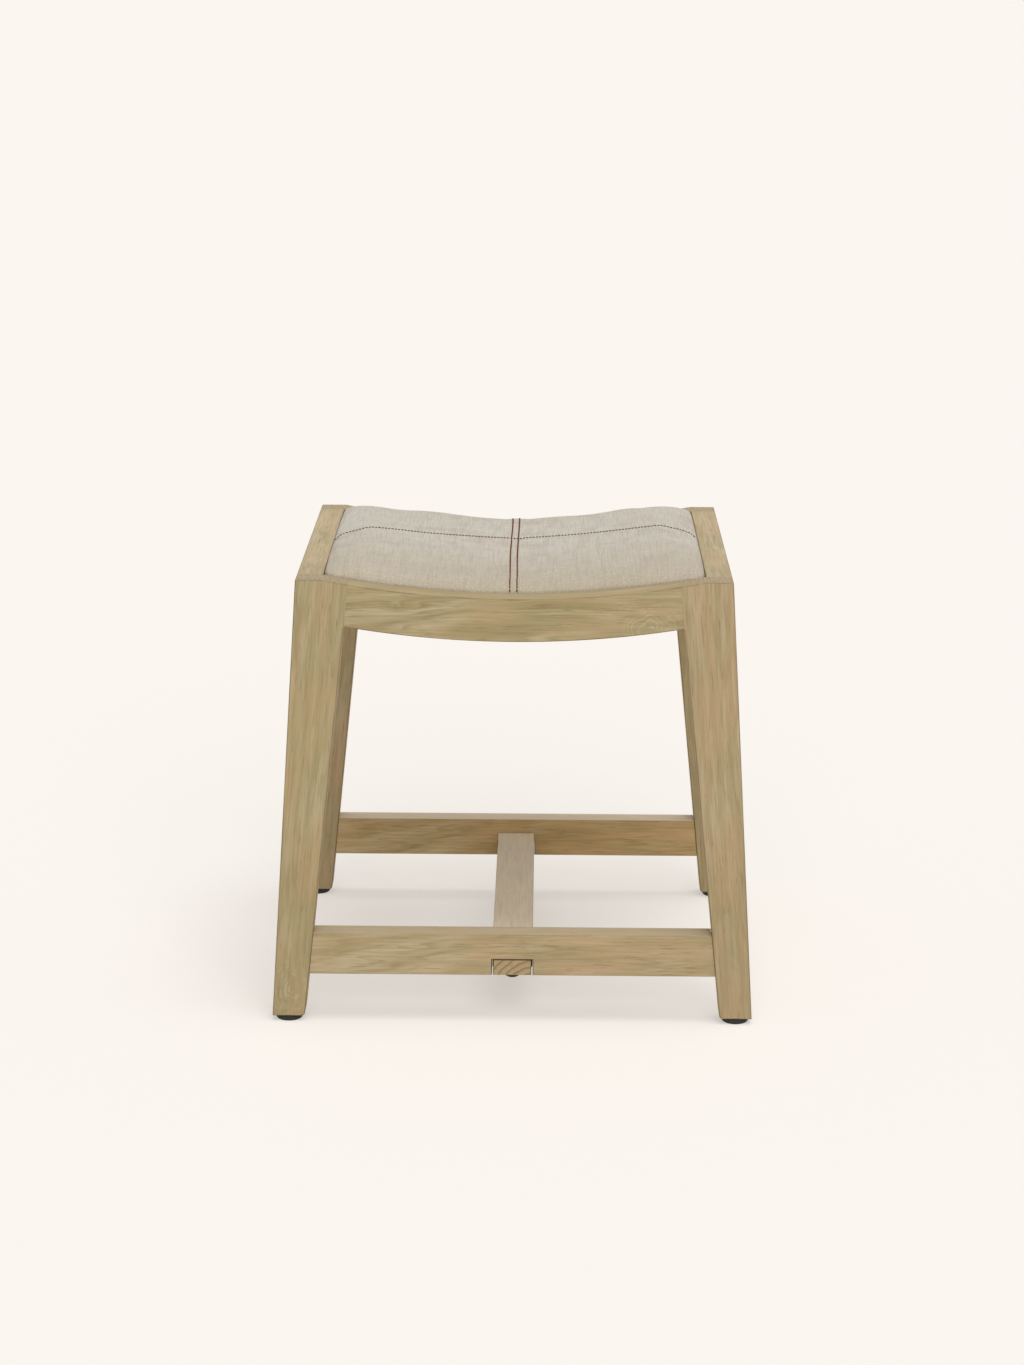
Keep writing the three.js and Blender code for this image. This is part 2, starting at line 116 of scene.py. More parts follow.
def linear(colour: str) -> tuple[float, float, float, float]:
    """Turn an sRGB hex colour into the linear one that a shader takes.

    Args:
        colour: Six hex digits after a hash sign.

    Returns:
        Linear red, green and blue, with an alpha of one.
    """
    parts = [int(colour[i : i + 2], 16) / 255 for i in (1, 3, 5)]
    red, green, blue = (c / 12.92 if c <= 0.04045 else ((c + 0.055) / 1.055) ** 2.4 for c in parts)
    return red, green, blue, 1.0


def add(
    tree: bpy.types.NodeTree,
    kind: str,
    inputs: dict[str | int, Feed] | list[Feed] | tuple[()] = (),
    **settings: object,
) -> bpy.types.Node:
    """Add a node to a tree with its settings, its values and its links.

    Args:
        tree: The node tree.
        kind: The node's type name, without the part that all of them share.
        inputs: What goes in, by name or number or in order.
        settings: Properties of the node and their values.

    Returns:
        The new node.
    """
    made = tree.nodes.new(f"ShaderNode{kind}")
    for key, value in settings.items():
        setattr(made, key, value)
    for key, value in inputs.items() if isinstance(inputs, dict) else enumerate(inputs):
        if isinstance(value, bpy.types.Node):
            value = next(socket for socket in value.outputs if socket.enabled)
        if isinstance(value, bpy.types.NodeSocket):
            tree.links.new(value, made.inputs[key])
        else:
            made.inputs[key].default_value = value
    return made


def blots(
    tree: bpy.types.NodeTree,
    place: Feed,
    size: Size,
    detail: float = 2.0,
    rough: float = 0.5,
) -> bpy.types.Node:
    """Make a soft random pattern whose blots have a real size.

    Args:
        tree: The node tree.
        place: The coordinates, in metres.
        size: Length of a blot along each axis, in millimetres.
        detail: How many finer layers it has.
        rough: How strong those layers are.

    Returns:
        The node that gives the pattern, from 0 to 1.
    """
    rate = tuple(1 / (length * MM) for length in size)
    scaled = add(tree, "VectorMath", [place, rate], operation="MULTIPLY")
    inputs = {"Vector": scaled, "Scale": 1.0, "Detail": detail, "Roughness": rough}
    return add(tree, "TexNoise", inputs)


@dataclass(frozen=True)
class Finish:
    """A surface finish, made once as a material.

    Attributes:
        name: The material's name, its real finish.
    """

    name: str

    def build(self) -> bpy.types.Material:
        """Make the material.

        Returns:
            The material.
        """
        material = bpy.data.materials.new(self.name)
        material.use_nodes = True
        tree = material.node_tree
        tree.nodes.clear()
        coords = add(tree, "TexCoord").outputs["Object"]
        shader = add(tree, "BsdfPrincipled", self.dress(tree, coords))
        add(tree, "OutputMaterial", {"Surface": shader})
        return material

    def dress(self, tree: bpy.types.NodeTree, coords: Feed) -> dict[str, Feed]:
        """Make the pattern.

        Args:
            tree: The material's nodes.
            coords: Places on the stool, in metres.

        Returns:
            What goes into the shader, by socket.
        """
        raise NotImplementedError


# Finishes


class Tone(Enum):
    """Which way one board's bleached wood leans: two body colours, a pale and a dark streak."""

    SANDY = ("#C3A680", "#B7A57D", "#D0BE9B", "#A5905F")
    GREEN = ("#BDA57B", "#B1A479", "#CCBC97", "#A08E60")
    BROWN = ("#CBA774", "#BFA06B", "#DAC295", "#AA8E57")
    GREYISH = ("#DAC6A9", "#CEBEA1", "#E0D2BA", "#BCA987")
    FADED = ("#B8A280", "#ABA07E", "#C9BC9E", "#9A8B66")


@dataclass(frozen=True)
class Knot:
    """A knot or a swirl in a board, round which the rings bend.

    Attributes:
        place: Its place across and along the board from the board's centre.
        size: Its half width.
        lift: How far it pushes the rings outwards.
        rings: How strongly its own fine rings show.
        heart: How brown its middle is.
    """

    place: tuple[float, float]
    size: float
    lift: float
    rings: float = 0.0
    heart: float = 0.0


@dataclass(frozen=True)
class Grain:
    """How a board was cut from its log, and the dark lines, darkening and painted light and shade
    laid on it.

    Attributes:
        pith: Where the tree's middle lies from the board's centre, across and through the board.
        tilt: Lean of the tree's axis against the board's, in radians.
        tone: Which way the body colour leans.
        ring: Width of a growth ring.
        figure: How strongly the rings show, from 0 to 1.
        knots: Knots in the board.
        ends: The colours of its end grain: between the pores, in them, and along the rings.
        top: A colour laid on its upper faces as painted light or shade, lighter or darker by how
            light falls there, and how strong it is.
        wander: How far the rings wander from true circles.
        uneven: By how many rings their count varies across the grain.
        low_darkening: How far the lowest part is darkened, more towards the floor.
        joint_stain_and_shade: How dark its edges are at a joint: a dark joint line and painted
            shade in the crevice.
        edge_shade: How far its other eased edges are darkened with painted edge shade.
    """

    pith: tuple[float, float]
    tilt: tuple[float, float]
    tone: Tone
    ring: float
    figure: float
    knots: tuple[Knot, ...] = ()
    ends: tuple[str, str, str] = ("#A8977A", "#948366", "#8A7757")
    top: tuple[str, float] = ("#C3A680", 0.0)
    wander: float = 34 * MM
    uneven: float = 3.2
    low_darkening: float = 0.0
    joint_stain_and_shade: float = 0.9
    edge_shade: float = 0.75


@dataclass(frozen=True)
class BleachedWood(Finish):
    """Planed hardwood, bleached and given a thin matt oil: pale sandy brown with soft rings.

    Attributes:
        centre: The board's centre.
        turn: Turns the board's axes (across, through, along the grain) to the stool's.
        grain: How the board was cut, and the darkening and painted light and shade on it.
        bend: Size of a bend of the rings, in millimetres across, through and along the grain.
        fibre: Size of a streak of fibre.
        pore: Size of a pore.
        browns: Colours of the fibre and of the pores.
        bands: Colours of the dark and the pale broad bands of rings, and how strong they are.
        band_rings: How many rings one pair of bands covers.
        line: Colour of a thin ring line.
        knot_ring: Width of a ring round a knot.
        knot_colours: Colours of a knot's heart and of the fine rings round it.
        low_edge_and_joint_darks: Colours of the darker lowest part, of the painted shade on an
            eased edge, and of the dark line and painted shade at a joint.
    """

    centre: Size
    turn: Size
    grain: Grain
    bend: Size = (1000 / 22, 1000 / 22, 1000 / 6)
    fibre: Size = (2.2, 2.2, 55.0)
    pore: Size = (1.2, 1.2, 24.0)
    browns: tuple[str, str] = ("#9C865A", "#78623D")
    bands: tuple[str, str, float] = ("#9E8757", "#D2C09C", 0.55)
    band_rings: float = 2.6
    line: str = "#8F7447"
    knot_ring: float = 4.6 * MM
    knot_colours: tuple[str, str] = ("#8C6F42", "#DCCBA8")
    # Darker lowest part, painted shade on the eased edges, and a dark joint line with painted shade
    # in its crevice.
    low_edge_and_joint_darks: tuple[str, str, str] = ("#8F7B55", "#7F6A45", "#55432A")

    def dress(self, tree: bpy.types.NodeTree, coords: Feed) -> dict[str, Feed]:
        """Make the pattern.

        Args:
            tree: The material's nodes.
            coords: Places on the stool, in metres.

        Returns:
            What goes into the shader, by socket.
        """
        inputs = {"Vector": coords, "Location": self.centre, "Rotation": self.turn}
        board = add(tree, "Mapping", inputs, **PLACES)
        fibre = blots(tree, board, self.fibre, 4.0, 0.68)
        pore = add(tree, "MapRange", [blots(tree, board, self.pore, 2.0), 0.6, 0.7], **SMOOTH)
        fibre_brown, pore_brown = (linear(colour) for colour in self.browns)
        rings = self._rings(tree, board)
        body = self._body(tree, board)
        body = self._figure(tree, board, body, rings)
        share = add(tree, "MapRange", [fibre, 0.38, 0.72, 0.0, 0.5], **SMOOTH)
        body = add(tree, "Mix", {0: share, 6: body, 7: fibre_brown}, **COLOURS)
        share = add(tree, "Math", [pore, 0.42], operation="MULTIPLY")
        body = add(tree, "Mix", {0: share, 6: body, 7: pore_brown}, **COLOURS)
        body = self._painted_top_light_and_low_darkening(tree, coords, body)
        body = self._ends(tree, board, body, rings)
        body = self._eased_edges(tree, board, body)
        relief = add(tree, "Math", [pore, -0.5, fibre], operation="MULTIPLY_ADD")
        return {
            "Base Color": body,
            "Roughness": add(tree, "MapRange", [fibre, 0.2, 0.8, 0.56, 0.7], **SMOOTH),
            "IOR": 1.46,
            "Normal": add(tree, "Bump", {"Height": relief, "Distance": 0.08 * MM}),
        }

    def _body(self, tree: bpy.types.NodeTree, board: Feed) -> bpy.types.Node:
        """Lay the two body colours in patches, with warm, olive and pale streaks along the grain.

        Args:
            tree: The material's nodes.
            board: Places on the board, in metres.

        Returns:
            The colour.
        """
        warm, green = (linear(colour) for colour in self.grain.tone.value[:2])
        pale, dark = self.grain.tone.value[2:]
        drift = add(tree, "MapRange", [blots(tree, board, (20, 20, 75)), 0.36, 0.62], **SMOOTH)
        body = add(tree, "Mix", {0: drift, 6: warm, 7: green}, **COLOURS)
        # Size of a streak in millimetres, its colour, and how strong it gets
        streaks = (
            ((34.0, 34.0, 110.0), pale, 0.5),
            ((8.0, 8.0, 80.0), dark, 0.3),
            ((5.5, 5.5, 110.0), "#B5986B", 0.18),
            ((3.0, 3.0, 60.0), pale, 0.36),
        )
        for size, colour, most in streaks:
            streak = blots(tree, board, size, 2.0, 0.55)
            share = add(tree, "MapRange", [streak, 0.46, 0.76, 0.0, most], **SMOOTH)
            body = add(tree, "Mix", {0: share, 6: body, 7: linear(colour)}, **COLOURS)
        return body

    def _figure(
        self, tree: bpy.types.NodeTree, board: Feed, body: Feed, rings: Feed
    ) -> bpy.types.Node:
        """Draw the growth rings over the body colour: broad soft bands, and thin lines in patches.

        Args:
            tree: The material's nodes.
            board: Places on the board, in metres.
            body: The colour so far.
            rings: The count of rings outwards from the pith.

        Returns:
            The colour.
        """
        turns = add(tree, "Math", [rings, 2 * math.pi / self.band_rings], operation="MULTIPLY")
        wave = add(tree, "Math", [turns], operation="SINE")
        patch = add(tree, "MapRange", [blots(tree, board, (28, 28, 90), 1.0), 0.3, 0.65], **SMOOTH)
        dark, pale, most = self.bands
        for low, high, colour in ((0.1, 1.0, dark), (-0.1, -1.0, pale)):
            strongest = most * self.grain.figure
            share = add(tree, "MapRange", [wave, low, high, 0.0, strongest], **SMOOTH)
            share = add(tree, "Math", [share, patch], operation="MULTIPLY")
            body = add(tree, "Mix", {0: share, 6: body, 7: linear(colour)}, **COLOURS)
        band = add(tree, "ValToRGB", [add(tree, "Math", [rings], operation="FRACT")])
        elements = band.color_ramp.elements
        for place, grey in ((0.5, 0.05), (0.84, 1.0), (0.93, 0.7)):
            elements.new(place).color = (grey, grey, grey, 1.0)
        elements[-1].color = elements[0].color
        thin = add(tree, "MapRange", [blots(tree, board, (16, 16, 70), 1.0), 0.42, 0.7], **SMOOTH)
        share = add(tree, "Math", [band, thin], operation="MULTIPLY")
        share = add(tree, "Math", [share, self.grain.figure * 0.75], operation="MULTIPLY")
        body = add(tree, "Mix", {0: share, 6: body, 7: linear(self.line)}, **COLOURS)
        for knot in self.grain.knots:
            body = self._swirl(tree, board, body, knot)
        return body

    def _swirl(
        self, tree: bpy.types.NodeTree, board: Feed, body: Feed, knot: Knot
    ) -> bpy.types.Node:
        """Draw a knot's brown heart, and parts of the fine pale rings round it.

        Args:
            tree: The material's nodes.
            board: Places on the board, in metres.
            body: The colour so far.
            knot: The knot.

        Returns:
            The colour.
        """
        heart_brown, ring_pale = (linear(colour) for colour in self.knot_colours)
        away, bell = self._near(tree, board, knot, 0.8)
        heart = add(tree, "Math", [bell, 5.0], operation="POWER")
        share = add(tree, "Math", [heart, knot.heart], operation="MULTIPLY")
        body = add(tree, "Mix", {0: share, 6: body, 7: heart_brown}, **COLOURS)
        bend = blots(tree, board, (12, 12, 16))
        bent = add(tree, "Math", [bend, 16 * MM, away], operation="MULTIPLY_ADD")
        turns = add(tree, "Math", [bent, 2 * math.pi / self.knot_ring], operation="MULTIPLY")
        wave = add(tree, "Math", [turns], operation="SINE")
        line = add(tree, "MapRange", [wave, 0.0, 1.0], **SMOOTH)
        parts = add(tree, "MapRange", [blots(tree, board, (9, 9, 14), 0.0), 0.4, 0.56], **SMOOTH)
        share = add(tree, "Math", [line, bell], operation="MULTIPLY")
        share = add(tree, "Math", [share, parts], operation="MULTIPLY")
        share = add(tree, "Math", [share, knot.rings], operation="MULTIPLY")
        return add(tree, "Mix", {0: share, 6: body, 7: ring_pale}, **COLOURS)

    def _rings(self, tree: bpy.types.NodeTree, board: Feed) -> bpy.types.Node:
        """Count the growth rings outwards from the pith, bent by the knots and never even.

        Args:
            tree: The material's nodes.
            board: Places on the board, in metres.

        Returns:
            The count.
        """
        wander = blots(tree, board, self.bend).outputs["Color"]
        wander = add(tree, "VectorMath", [wander, (0.5, 0.5, 0.5)], operation="SUBTRACT")
        inputs = [wander, (self.grain.wander, self.grain.wander, 0.0), board]
        bent = add(tree, "VectorMath", inputs, operation="MULTIPLY_ADD")
        pith, axis = (*self.grain.pith, 0.0), (*self.grain.tilt, 0.0)
        inputs = {"Vector": bent, "Location": pith, "Rotation": axis}
        log = add(tree, "Mapping", inputs, **PLACES)
        log = add(tree, "VectorMath", [log, (1.0, 1.0, 0.0)], operation="MULTIPLY")
        outwards = add(tree, "VectorMath", [log], operation="LENGTH")
        for knot in self.grain.knots:
            bell = self._near(tree, board, knot, 0.55)[1]
            outwards = add(tree, "Math", [bell, knot.lift, outwards], operation="MULTIPLY_ADD")
        rings = add(tree, "Math", [outwards, self.grain.ring], operation="DIVIDE")
        uneven = blots(tree, board, (11, 11, 300), 2.0)
        return add(tree, "Math", [uneven, self.grain.uneven, rings], operation="MULTIPLY_ADD")

    def _near(
        self, tree: bpy.types.NodeTree, board: Feed, knot: Knot, stretch: float
    ) -> tuple[bpy.types.Node, bpy.types.Node]:
        """Measure the way from a knot's middle, and fade from 1 there to 0 as a bell curve does.

        Args:
            tree: The material's nodes.
            board: Places on the board, in metres.
            knot: The knot.
            stretch: How long it is across the grain against along it.

        Returns:
            The way, and the fade.
        """
        across, along = knot.place
        flat = add(tree, "VectorMath", [board, (1.0, 0.0, stretch)], operation="MULTIPLY")
        inputs = [flat, (across, 0.0, along * stretch)]
        away = add(tree, "VectorMath", inputs, operation="DISTANCE")
        spread = add(tree, "Math", [away, knot.size], operation="DIVIDE")
        spread = add(tree, "Math", [spread, 2.0], operation="POWER")
        fall = add(tree, "Math", [spread, -1.0], operation="MULTIPLY")
        return away, add(tree, "Math", [fall], operation="EXPONENT")

    def _painted_top_light_and_low_darkening(self, tree: bpy.types.NodeTree, coords: Feed, body: Feed) -> bpy.types.Node:
        """Lay painted light or shade on the faces that look up, and darken the lowest part.

        Args:
            tree: The material's nodes.
            coords: Places on the stool, in metres.
            body: The colour so far.

        Returns:
            The colour.
        """
        colour, most = self.grain.top
        low_darkening = linear(self.low_edge_and_joint_darks[0])
        normal = add(tree, "NewGeometry").outputs["True Normal"]
        upward = add(tree, "SeparateXYZ", [normal]).outputs["Z"]
        # Painted light or shade: faces that look up take the top colour, lighter or darker by how
        # the light falls on them.
        share = add(tree, "MapRange", [upward, 0.6, 0.95, 0.0, most], **SMOOTH)
        body = add(tree, "Mix", {0: share, 6: body, 7: linear(colour)}, **COLOURS)
        height = add(tree, "SeparateXYZ", [coords]).outputs["Z"]
        # Darker towards the floor.
        share = add(tree, "MapRange", [height, 0.3, 0.03, 0.0, self.grain.low_darkening], **SMOOTH)
        return add(tree, "Mix", {0: share, 6: body, 7: low_darkening}, **COLOURS)

    def _ends(
        self, tree: bpy.types.NodeTree, board: Feed, body: Feed, rings: Feed
    ) -> bpy.types.Node:
        """Lay the dotted end grain, with its rings, where a face is cut across the grain.

        Args:
            tree: The material's nodes.
            board: Places on the board, in metres.
            body: The colour so far.
            rings: The count of rings outwards from the pith.

        Returns:
            The colour.
        """
        along = Euler(self.turn).to_matrix() @ Vector((0, 0, 1))
        normal = add(tree, "NewGeometry").outputs["True Normal"]
        facing = add(tree, "VectorMath", [normal, tuple(along)], operation="DOT_PRODUCT")
        facing = add(tree, "Math", [facing], operation="ABSOLUTE")
        dots = add(tree, "MapRange", [blots(tree, board, (1.1, 1.1, 8)), 0.4, 0.7], **SMOOTH)
        pale, dark, late = (linear(colour) for colour in self.grain.ends)
        end = add(tree, "Mix", {0: dots, 6: pale, 7: dark}, **COLOURS)
        wave = add(tree, "Math", [rings, 2 * math.pi], operation="MULTIPLY")
        wave = add(tree, "Math", [wave], operation="SINE")
        line = add(tree, "MapRange", [wave, 0.1, 0.95, 0.0, 0.8], **SMOOTH)
        end = add(tree, "Mix", {0: line, 6: end, 7: late}, **COLOURS)
        share = add(tree, "MapRange", [facing, 0.7, 0.95, 0.0, 0.8], **SMOOTH)
        return add(tree, "Mix", {0: share, 6: body, 7: end}, **COLOURS)

    def _eased_edges(self, tree: bpy.types.NodeTree, board: Feed, body: Feed) -> bpy.types.Node:
        """Darken the eased edges with painted edge shade, and those at a joint with a dark line and
        painted shade.

        Args:
            tree: The material's nodes.
            board: Places on the board, in metres.
            body: The colour so far.

        Returns:
            The colour.
        """
        edge_shade_brown, joint_stain_and_shade = (linear(colour) for colour in self.low_edge_and_joint_darks[1:])
        # Painted shade along the eased edges, in patches.
        eased = add(tree, "Attribute", attribute_name="eased").outputs["Fac"]
        edge_shade_share = blots(tree, board, (9, 9, 26))
        edge_shade_share = add(tree, "MapRange", [edge_shade_share, 0.25, 0.7, 0.4, 1.0], **SMOOTH)
        edge_shade_share = add(tree, "Math", [edge_shade_share, self.grain.edge_shade], operation="MULTIPLY")
        share = add(tree, "Math", [eased, edge_shade_share], operation="MULTIPLY", use_clamp=True)
        body = add(tree, "Mix", {0: share, 6: body, 7: edge_shade_brown}, **COLOURS)
        # At a joint: a dark joint line and painted shade in its crevice.
        share = add(tree, "Math", [eased, -self.grain.joint_stain_and_shade], operation="MULTIPLY", use_clamp=True)
        return add(tree, "Mix", {0: share, 6: body, 7: joint_stain_and_shade}, **COLOURS)


@dataclass(frozen=True)
class RawBeech(Finish):
    """Unfinished beech of the parts that don't show: pale and pinkish, with short dark flecks.

    Attributes:
        ring: Size of a ring's streak, in millimetres.
        fleck: Size of a fleck.
        colours: Colours of the pale wood, of a ring and of a fleck.
    """

    name: str = "raw_sanded_beech"
    ring: Size = (60.0, 3.0, 3.0)
    fleck: Size = (2.4, 0.8, 0.8)
    colours: tuple[str, str, str] = ("#CDB78F", "#B4976A", "#8F7147")

    def dress(self, tree: bpy.types.NodeTree, coords: Feed) -> dict[str, Feed]:
        """Make the pattern.

        Args:
            tree: The material's nodes.
            coords: Places on the stool, in metres.

        Returns:
            What goes into the shader, by socket.
        """
        pale, brown, dark = (linear(colour) for colour in self.colours)
        ring = add(tree, "MapRange", [blots(tree, coords, self.ring), 0.35, 0.7], **SMOOTH)
        fleck = blots(tree, coords, self.fleck, 1.0)
        fleck = add(tree, "MapRange", [fleck, 0.6, 0.75, 0.0, 0.35], **SMOOTH)
        body = add(tree, "Mix", {0: ring, 6: pale, 7: brown}, **COLOURS)
        body = add(tree, "Mix", {0: fleck, 6: body, 7: dark}, **COLOURS)
        relief = add(tree, "Math", [ring, fleck], operation="ADD")
        return {
            "Base Color": body,
            "Roughness": add(tree, "MapRange", [ring, 0.0, 1.0, 0.68, 0.8]),
            "IOR": 1.46,
            "Normal": add(tree, "Bump", {"Height": relief, "Distance": 0.06 * MM}),
        }


@dataclass(frozen=True)
class BirchPly(Finish):
    """Rotary-cut birch plywood, raw: broad pale flames in a fine fibre.

    Attributes:
        flame: Size of a flame, in millimetres.
        fibre: Size of a fibre.
        colours: Colours of the pale wood, of a flame's edge and of the fibre.
    """

    name: str = "raw_birch_plywood"
    flame: Size = (34.0, 150.0, 34.0)
    fibre: Size = (0.8, 30.0, 0.8)
    colours: tuple[str, str, str] = ("#CDB488", "#B39466", "#9F8156")

    def dress(self, tree: bpy.types.NodeTree, coords: Feed) -> dict[str, Feed]:
        """Make the pattern.

        Args:
            tree: The material's nodes.
            coords: Places on the stool, in metres.

        Returns:
            What goes into the shader, by socket.
        """
        pale, brown, dark = (linear(colour) for colour in self.colours)
        flame = blots(tree, coords, self.flame, 3.0, 0.55)
        lines = add(tree, "Math", [flame, 9.0], operation="MULTIPLY")
        lines = add(tree, "Math", [lines], operation="FRACT")
        shade = add(tree, "MapRange", [lines, 0.55, 1.0, 0.0, 0.5], **SMOOTH)
        fibre = blots(tree, coords, self.fibre)
        share = add(tree, "MapRange", [fibre, 0.4, 0.8, 0.0, 0.35], **SMOOTH)
        body = add(tree, "Mix", {0: shade, 6: pale, 7: brown}, **COLOURS)
        body = add(tree, "Mix", {0: share, 6: body, 7: dark}, **COLOURS)
        return {
            "Base Color": body,
            "Roughness": add(tree, "MapRange", [fibre, 0.2, 0.8, 0.62, 0.76]),
            "IOR": 1.46,
            "Normal": add(tree, "Bump", {"Height": fibre, "Distance": 0.06 * MM}),
        }


@dataclass(frozen=True)
class WashedCanvas(Finish):
    """Washed cotton canvas in a plain weave: matt greige with slubs that run front to back.

    Attributes:
        thread: Pitch of the threads. The real pitch is near 0.6 mm, drawn coarser so that it shows.
        slub: Size of a thick stretch of a lengthwise thread, in millimetres.
        cross_slub: Size of one of a crosswise thread.
        front: Colour at the front, darker and warmer: partly the canvas's tint, partly painted
            shade on the front roll.
        rear: Colour from the middle to the rear.
        warm: Colour of the wide clouds that the washing left.
        dull: Colour of its blots.
        shades: Colours of the lengthwise slubs, of the crosswise ones and of the fuzz.
    """

    name: str = "washed_cotton_canvas"
    thread: float = 1.7 * MM
    slub: Size = (1.5, 34.0, 34.0)
    cross_slub: Size = (26.0, 1.6, 26.0)
    front: str = "#BFB39C"
    rear: str = "#D6D1C4"
    warm: str = "#CDC0B4"
    dull: str = "#B8AA95"
    shades: tuple[str, str, str] = ("#A99C88", "#AFA28F", "#E0D9CB")

    def dress(self, tree: bpy.types.NodeTree, coords: Feed) -> dict[str, Feed]:
        """Make the pattern.

        Args:
            tree: The material's nodes.
            coords: Places on the stool, in metres.

        Returns:
            What goes into the shader, by socket.
        """
        slub = blots(tree, coords, self.slub, 3.0, 0.6)
        cross_slub = blots(tree, coords, self.cross_slub, 2.0, 0.6)
        fuzz = blots(tree, coords, (1.3, 1.3, 1.3), 2.0, 0.6)
        slub_shade, cross_shade, fuzz_shade = (linear(colour) for colour in self.shades)
        body = self._washed(tree, coords)
        share = add(tree, "MapRange", [slub, 0.3, 0.62, 0.46, 0.0], **SMOOTH)
        body = add(tree, "Mix", {0: share, 6: body, 7: slub_shade}, **COLOURS)
        share = add(tree, "MapRange", [cross_slub, 0.3, 0.58, 0.3, 0.0], **SMOOTH)
        body = add(tree, "Mix", {0: share, 6: body, 7: cross_shade}, **COLOURS)
        share = add(tree, "MapRange", [fuzz, 0.45, 0.75, 0.0, 0.6], **SMOOTH)
        body = add(tree, "Mix", {0: share, 6: body, 7: fuzz_shade}, **COLOURS)
        relief = add(tree, "Math", [self._weave(tree, coords), 0.5, slub], operation="MULTIPLY_ADD")
        relief = add(tree, "Math", [cross_slub, 0.6, relief], operation="MULTIPLY_ADD")
        return {
            "Base Color": body,
            "Roughness": add(tree, "MapRange", [fuzz, 0.2, 0.8, 0.86, 0.96]),
            "IOR": 1.45,
            "Specular IOR Level": 0.25,
            "Sheen Weight": 0.15,
            "Sheen Roughness": 0.5,
            "Normal": add(tree, "Bump", {"Height": relief, "Distance": 0.35 * MM}),
        }

    def _washed(self, tree: bpy.types.NodeTree, coords: Feed) -> bpy.types.Node:
        """Lay the greige, darker and warmer towards the front, partly as painted shade on the front
        roll, with clouds and blots of the washing.

        Args:
            tree: The material's nodes.
            coords: Places on the stool, in metres.

        Returns:
            The colour.
        """
        ahead = add(tree, "SeparateXYZ", [coords]).outputs["Y"]
        # Partly painted shade: the front roll takes the darker front colour.
        share = add(tree, "MapRange", [ahead, -0.17, -0.04], **SMOOTH)
        body = add(tree, "Mix", {0: share, 6: linear(self.front), 7: linear(self.rear)}, **COLOURS)
        cloud = blots(tree, coords, (90, 70, 90), 1.0)
        share = add(tree, "MapRange", [cloud, 0.35, 0.7, 0.0, 0.4], **SMOOTH)
        body = add(tree, "Mix", {0: share, 6: body, 7: linear(self.warm)}, **COLOURS)
        blot = blots(tree, coords, (24, 24, 24), 2.0, 0.55)
        share = add(tree, "MapRange", [blot, 0.45, 0.72, 0.0, 0.4], **SMOOTH)
        return add(tree, "Mix", {0: share, 6: body, 7: linear(self.dull)}, **COLOURS)

    def _weave(self, tree: bpy.types.NodeTree, coords: Feed) -> bpy.types.Node:
        """Make the over and under of the threads, one wave for each way.

        Args:
            tree: The material's nodes.
            coords: Places on the stool, in metres.

        Returns:
            The height of the weave.
        """
        rate = 2 * math.pi / self.thread
        turns = add(tree, "VectorMath", [coords, (rate, rate, 0.0)], operation="MULTIPLY")
        waves = add(tree, "VectorMath", [turns], operation="SINE")
        parts = add(tree, "SeparateXYZ", [waves]).outputs
        return add(tree, "Math", [parts["X"], parts["Y"]], operation="MULTIPLY")


@dataclass(frozen=True)
class SewingThread(Finish):
    """Waxed cotton sewing thread: matt brown with a fine twist.

    Attributes:
        light: Colour of a strand's crest.
        dark: Colour between the strands.
    """

    name: str = "brown_cotton_thread"
    light: str = "#83491C"
    dark: str = "#4E2A10"

    def dress(self, tree: bpy.types.NodeTree, coords: Feed) -> dict[str, Feed]:
        """Make the pattern.

        Args:
            tree: The material's nodes.
            coords: Places on the stool, in metres.

        Returns:
            What goes into the shader, by socket.
        """
        twist = add(tree, "MapRange", [blots(tree, coords, (0.7, 0.7, 0.7)), 0.35, 0.65], **SMOOTH)
        body = add(tree, "Mix", {0: twist, 6: linear(self.dark), 7: linear(self.light)}, **COLOURS)
        return {
            "Base Color": body,
            "Roughness": add(tree, "MapRange", [twist, 0.0, 1.0, 0.9, 0.8]),
            "Specular IOR Level": 0.2,
            "Sheen Weight": 0.05,
            "Normal": add(tree, "Bump", {"Height": twist, "Distance": 0.1 * MM}),
        }


@dataclass(frozen=True)
class UpholsteryFoam(Finish):
    """Open-cell upholstery foam: cream with fine pores.

    Attributes:
        cell: Size of a pore, in millimetres.
        colours: Colours in a pore and between the pores.
    """

    name: str = "open_cell_foam"
    cell: Size = (1.4, 1.4, 1.4)
    colours: tuple[str, str] = ("#DCCFA6", "#EFE6C8")

    def dress(self, tree: bpy.types.NodeTree, coords: Feed) -> dict[str, Feed]:
        """Make the pattern.

        Args:
            tree: The material's nodes.
            coords: Places on the stool, in metres.

        Returns:
            What goes into the shader, by socket.
        """
        deep, cream = (linear(colour) for colour in self.colours)
        cell = blots(tree, coords, self.cell, 2.0, 0.6)
        share = add(tree, "MapRange", [cell, 0.4, 0.6], **SMOOTH)
        body = add(tree, "Mix", {0: share, 6: deep, 7: cream}, **COLOURS)
        return {
            "Base Color": body,
            "Roughness": 0.95,
            "Normal": add(tree, "Bump", {"Height": cell, "Distance": 0.3 * MM}),
        }


